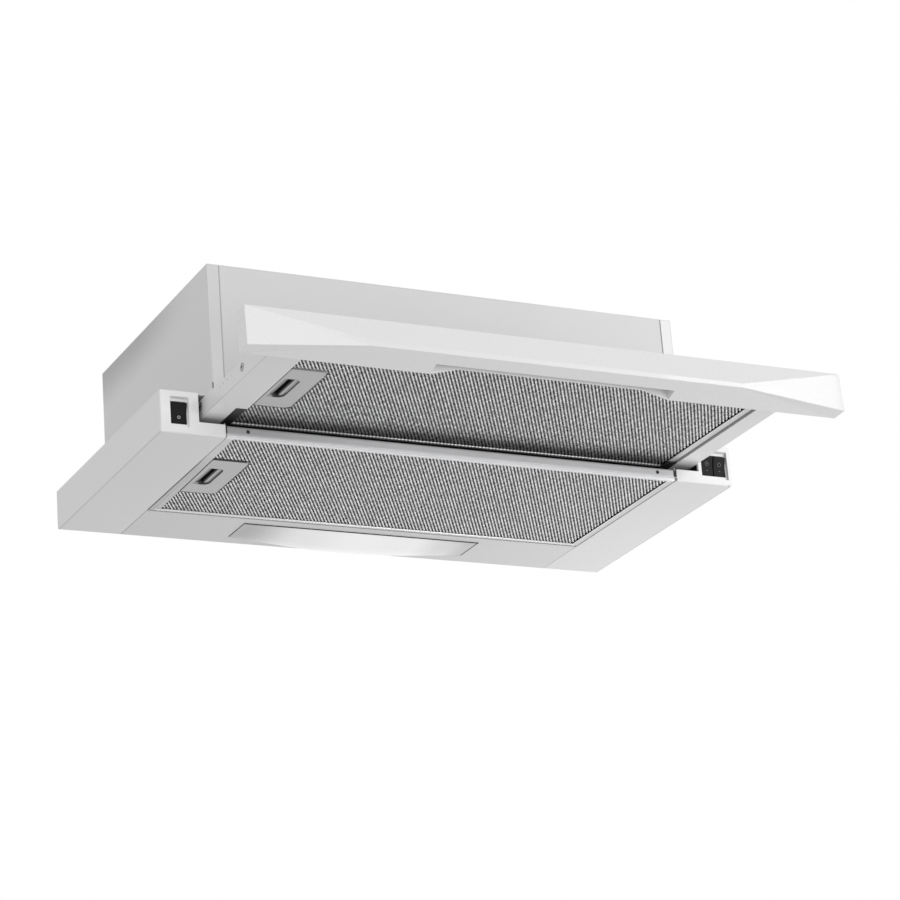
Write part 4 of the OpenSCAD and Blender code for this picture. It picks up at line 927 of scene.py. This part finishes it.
def bead_finish(kind):
    """Bright aluminium; along the drawer filter's bead, painted light and shade in step with the
    mesh rows gives bright teeth.
    """
    material = finish(kind + "_rolled_bead", (0.96, 0.96, 0.96), 0.22, metal=0.45,
                      mottle=(60, 0.06), grain=(700, 0.05))
    if kind == "drawer":
        # Painted light and shade: one bright tooth to each row of the mesh.
        tree = material.node_tree
        turns = tree.nodes.new("ShaderNodeMath")
        turns.operation = "MULTIPLY"
        turns.inputs[1].default_value = 2 * pi / (MESH_PITCH[0] * MM)
        wave = tree.nodes.new("ShaderNodeMath")
        wave.operation = "SINE"
        tree.links.new(object_axis(material, "X"), turns.inputs[0])
        tree.links.new(turns.outputs[0], wave.inputs[0])
        teeth_light_and_shade = tree.nodes.new("ShaderNodeMapRange")
        teeth_light_and_shade.inputs["From Min"].default_value = -0.3
        teeth_light_and_shade.inputs["From Max"].default_value = 0.5
        tree.links.new(wave.outputs[0], teeth_light_and_shade.inputs["Value"])
        darken(material, teeth_light_and_shade.outputs["Result"], 0.6)
    return material


BEAD_RADIUS = 1.3
BEAD_END_RADIUS = 1.1
BEAD_OVERHANG = (1.6, 2)


def frame_bead(name, node, body, material):
    """The rolled bead along the rear lip of a filter, and the thin pressed line along its sides."""
    low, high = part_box(node)
    z = low.z / MM
    half = FILTER_HALF - SIDE_LIP
    y0, y1 = low.y / MM + FRONT_LIP, high.y / MM - REAR_LIP
    shoulder, end = (half + run for run in BEAD_OVERHANG)
    bm = bmesh.new()
    add_turned(bm, [(0, -end), (BEAD_END_RADIUS, -end), (BEAD_RADIUS, -shoulder),
                    (BEAD_RADIUS, shoulder), (BEAD_END_RADIUS, end), (0, end)],
               (0, y1 + 1.2, z + 0.5), (1, 0, 0), 20)
    for x0, x1 in ((-half - 0.7, -half), (half, half + 1.3)):
        add_block(bm, (x0, y0, z - 0.02), (x1, y1, z + 0.25))
    piece = new_piece(name, bm, material)
    rounding(piece, 0.1, 2, 50)
    set_smooth(piece, True)
    finish_piece(piece, body, "filter_aluminium")


LIP_SPREAD = 3.2
LIP_FOLD = 0.4
LIP_GAP = 1.3
SHEET_INSET = 0.9


def side_lip(name, node, body, material):
    """The folded lip over the left edge of the mesh, a little wider towards the rear, and a black
    strip of painted shade in the gap beside the handle plate.
    """
    low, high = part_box(node)
    z = low.z / MM
    edge = -FILTER_HALF + SIDE_LIP
    y0, y1 = low.y / MM + FRONT_LIP, high.y / MM - REAR_LIP
    middle, half = (y0 + y1) / 2, PLATE_LENGTH / 2
    slope = LIP_SPREAD / (y1 - y0)
    bm = bmesh.new()
    made = add_block(bm, (edge - LIP_FOLD, y0, z - 0.05), (edge + 0.01, y1, z + LIP_FOLD))
    for vert in made:
        if vert.co.x > (edge - LIP_FOLD / 2) * MM:
            vert.co.x += slope * (vert.co.y / MM - y0) * MM
    piece = new_piece(name, bm, material)
    finish_piece(piece, body, "filter_aluminium")
    # A black strip of painted shade in the gap beside the handle plate.
    bm = bmesh.new()
    made = add_block(bm, (edge, middle - half, z - 0.08),
                     (edge + LIP_GAP, middle + half, z + LIP_FOLD))
    for vert in made:
        vert.co.x += slope * (vert.co.y / MM - y0) * MM
    gap = new_piece(name + "_shadow_gap", bm, BLACK)
    finish_piece(gap, body, "black_plastic")


def make_filters():
    for kind, body in (("fixed", "hood"), ("drawer", "drawer")):
        node = kind + "_filter_frame"
        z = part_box(node)[0].z / MM
        rolled = rolled_finish(kind)
        dressed(node, body, "filter_aluminium", rolled, FRAME_ROUNDING)
        paint_node(kind + "_filter_latch", latch_finish(kind, z))
        plate = plate_finish(kind, z)
        dressed(kind + "_filter_handle", body, "grey_plastic", plate, PLATE_ROUNDING)
        mesh = mesh_finish(kind)
        expanded_sheet(kind + "_filter_lower_sheet", node, body, z + SHEET_INSET, 1, mesh)
        inner_pad(kind + "_filter_pad", node, body, kind + "_filter_mesh")
        frame_bead(kind + "_filter_bead", node, body, bead_finish(kind))
        if kind == "fixed":
            side_lip("fixed_filter_side_lip", node, body, rolled)
    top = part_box("drawer_filter_frame")[1].z / MM
    expanded_sheet("drawer_filter_upper_sheet", "drawer_filter_frame", "drawer",
                   top - SHEET_INSET, -1, mesh)


# ---- Small fasteners and marks ----

ARM_FACE_X = 258.05
SCREW_HEAD_R = 3.2
SCREW_SHANK_R = 1.5
SCREW_SHANK_LEN = 2.0
SCREW_STEPS = (30, 90.7, 190)
SCREW_Z = -11
RIVET_PLACES_Y = (-183, -192, -202, -211)
RIVET_Z = -9.5
RIVET_RADIUS = 0.8
# Sections of the heads: shares of the radius, and heights.
SCREW_SECTION = ((0, 0.3), (0.7, 0.28), (1, 0.14), (1, 0))
RIVET_SECTION = ((0, 0.5), (0.6, 0.42), (1, 0.12), (1, 0), (0, 0))
# The ring of painted shade round a screw head, and the cross of painted shade in it.
RING_GAPS = (0.05, 0.7)
RING_RISE = 0.08
CROSS_SHARES = (0.75, 0.2)
CROSS_HEIGHTS = (0.1, 0.33)


def scaled(section, radius):
    return [(share * radius, height) for share, height in section]


def cross_screws(name, places, body, *stands_for):
    """Flat screw heads; the ring of each countersink and the cross recess are black pieces of
    painted shade.
    """
    heads, recesses = bmesh.new(), bmesh.new()
    shank = [(SCREW_SHANK_R, 0), (SCREW_SHANK_R, -SCREW_SHANK_LEN), (0, -SCREW_SHANK_LEN)]
    inner, outer = (SCREW_HEAD_R + gap for gap in RING_GAPS)
    ring = [(inner, 0), (inner, RING_RISE), (outer, RING_RISE), (outer, 0), (inner, 0)]
    long, short = (SCREW_HEAD_R * share for share in CROSS_SHARES)
    low, high = CROSS_HEIGHTS
    for x, y, z in places:
        axis = (1 if x > 0 else -1, 0, 0)
        add_turned(heads, scaled(SCREW_SECTION, SCREW_HEAD_R) + shank, (x, y, z), axis)
        add_turned(recesses, ring, (x, y, z), axis, 32)
        turn = Vector((0, 0, 1)).rotation_difference(Vector(axis)).to_matrix().to_4x4()
        lift = Matrix.Translation(Vector((x, y, z)) * MM) @ turn
        for along, across in ((long, short), (short, long)):
            made = add_block(recesses, (-along, -across, low), (along, across, high))
            bmesh.ops.transform(recesses, verts=made, matrix=lift)
    piece = new_piece(name, heads, HEAD_ZINC)
    finish_piece(piece, body, "zinc_steel", *stands_for)
    # Painted shade: the black rings and crosses.
    recess = new_piece(name + "_recesses", recesses, BLACK)
    finish_piece(recess, body, "black_plastic")


def rivets(name, places, axis, body):
    """Domed rivet heads."""
    bm = bmesh.new()
    for place in places:
        add_turned(bm, scaled(RIVET_SECTION, RIVET_RADIUS), place, axis, 16)
    piece = new_piece(name, bm, HEAD_ZINC)
    set_smooth(piece, True)
    finish_piece(piece, body, "zinc_steel")


def make_fasteners():
    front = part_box("front_strip")[1].y / MM
    places = [(side * ARM_FACE_X, front + step, SCREW_Z)
              for side in (-1, 1) for step in SCREW_STEPS]
    cross_screws("arm_screws", places, "drawer", "slide_screws")
    for side, word in ((-1, "left"), (1, "right")):
        places = [(side * ARM_FACE_X, y, RIVET_Z) for y in RIVET_PLACES_Y]
        rivets(f"arm_rivets_{word}", places, (side, 0, 0), "drawer")


# The rockers' pivots in Y and Z, how far they lean at rest, and the slope of each half of a face.
ROCKER_PIVOT = (-134.0, -20.0)
REST_LEAN = 7.0
FACE_SLOPE = 8.0
FACE_DEPTH = 4.5
MARK_RISE = 0.12


def lay_on_face(bm, build, x, z):
    """Draws part of a mark in its own plane and lays it on the half of the face it belongs to."""
    before = set(bm.verts)
    build(bm)
    made = [vert for vert in bm.verts if vert not in before]
    pivot = Matrix.Translation(Vector((x, *ROCKER_PIVOT)) * MM)
    lean = Matrix.Rotation(radians(REST_LEAN), 4, "X")
    depth = FACE_DEPTH + abs(z) * tan(radians(FACE_SLOPE))
    down = Matrix.Translation(Vector((0, -depth, z)) * MM)
    slope = Matrix.Rotation(radians(FACE_SLOPE if z > 0 else -FACE_SLOPE), 4, "X")
    bmesh.ops.transform(bm, verts=made, matrix=pivot @ lean @ down @ slope)


def ring_mark(bm, radius, line):
    add_turned(bm, [(radius - line, 0), (radius - line, MARK_RISE), (radius, MARK_RISE),
                    (radius, 0), (radius - line, 0)], (0, 0, 0), (0, -1, 0), 28)


def bright_ring(bm):
    ring_mark(bm, 1.45, 0.36)


def thin_ring(bm):
    ring_mark(bm, 2.0, 0.32)


def short_bar(bm):
    add_block(bm, (-0.7, -MARK_RISE, -0.3), (0.7, 0, 0.3))


def small_dot(bm):
    add_block(bm, (-0.4, -MARK_RISE, -0.4), (0.4, 0, 0.4))


def make_marks():
    for node, body, tone, drawn in (
            ("lamp_rocker", "lamp_switch", MARK_WHITE, ((bright_ring, -3.8),)),
            ("power_rocker", "power_switch", MARK_GREY,
             ((thin_ring, 2.3), (small_dot, 2.3), (short_bar, -4.6))),
            ("speed_rocker", "speed_switch", MARK_GREY, ((thin_ring, 2.3), (short_bar, -4.6)))):
        low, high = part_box(node)
        x = (low.x + high.x) / 2 / MM
        bm = bmesh.new()
        for build, z in drawn:
            lay_on_face(bm, build, x, z)
        piece = new_piece(node.replace("rocker", "mark"), bm, tone)
        finish_piece(piece, body, "rocker_plastic")


LENS_HALF = 128.5
SHADE_STRIP_RUN = 40.0


def make_lens_shade_strips():
    """Thin black strips of painted shade round the lens, deepest along its front edge."""
    y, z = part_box("lamp_lens")[0].y / MM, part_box("lamp_panel")[0].z / MM
    bm = bmesh.new()
    add_block(bm, (-LENS_HALF - 0.3, y - 0.6, z - 0.8), (LENS_HALF + 0.3, y + 0.2, z + 0.1))
    for x in (-LENS_HALF, LENS_HALF):
        add_block(bm, (x - 0.3, y, z - 0.35), (x + 0.3, y + SHADE_STRIP_RUN, z + 0.1))
    piece = new_piece("lens_shade_strips", bm, RUBBER_AND_SHADE)
    finish_piece(piece, "hood", "black_plastic")


BAR_HOLE_X = 214.7
BAR_HOLE_SHADE_SECTION = ((0, 0.1), (1.8, 0.1), (1.9, 0), (0, 0))
BAR_SHADE_SPANS = ((-236.4, -235.2), (232.6, 236.0))


def make_crossbar_shade_pieces():
    """Black pieces of painted shade where the crossbar enters the bezels, and over the mouths of
    its two small holes.
    """
    low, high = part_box("crossbar")
    y = low.y / MM
    z0, z1 = low.z / MM, high.z / MM
    bm = bmesh.new()
    for x0, x1 in BAR_SHADE_SPANS:
        add_block(bm, (x0, y - 0.15, z0 + 0.3), (x1, y + 0.6, z1 - 0.2))
    for x in (-BAR_HOLE_X, BAR_HOLE_X):
        add_turned(bm, BAR_HOLE_SHADE_SECTION, (x, y, (z0 + z1) / 2), (0, -1, 0), 28)
    piece = new_piece("crossbar_shade_pieces", bm, RUBBER_AND_SHADE)
    rounding(piece, 0.12)
    finish_piece(piece, "hood", "black_plastic")


make_camera()
make_studio()
dress_housing()
dress_drawer()
dress_switches()
dress_hidden_parts()
make_filters()
make_fasteners()
make_marks()
make_lens_shade_strips()
make_crossbar_shade_pieces()

scene.view_settings.view_transform = "Standard"
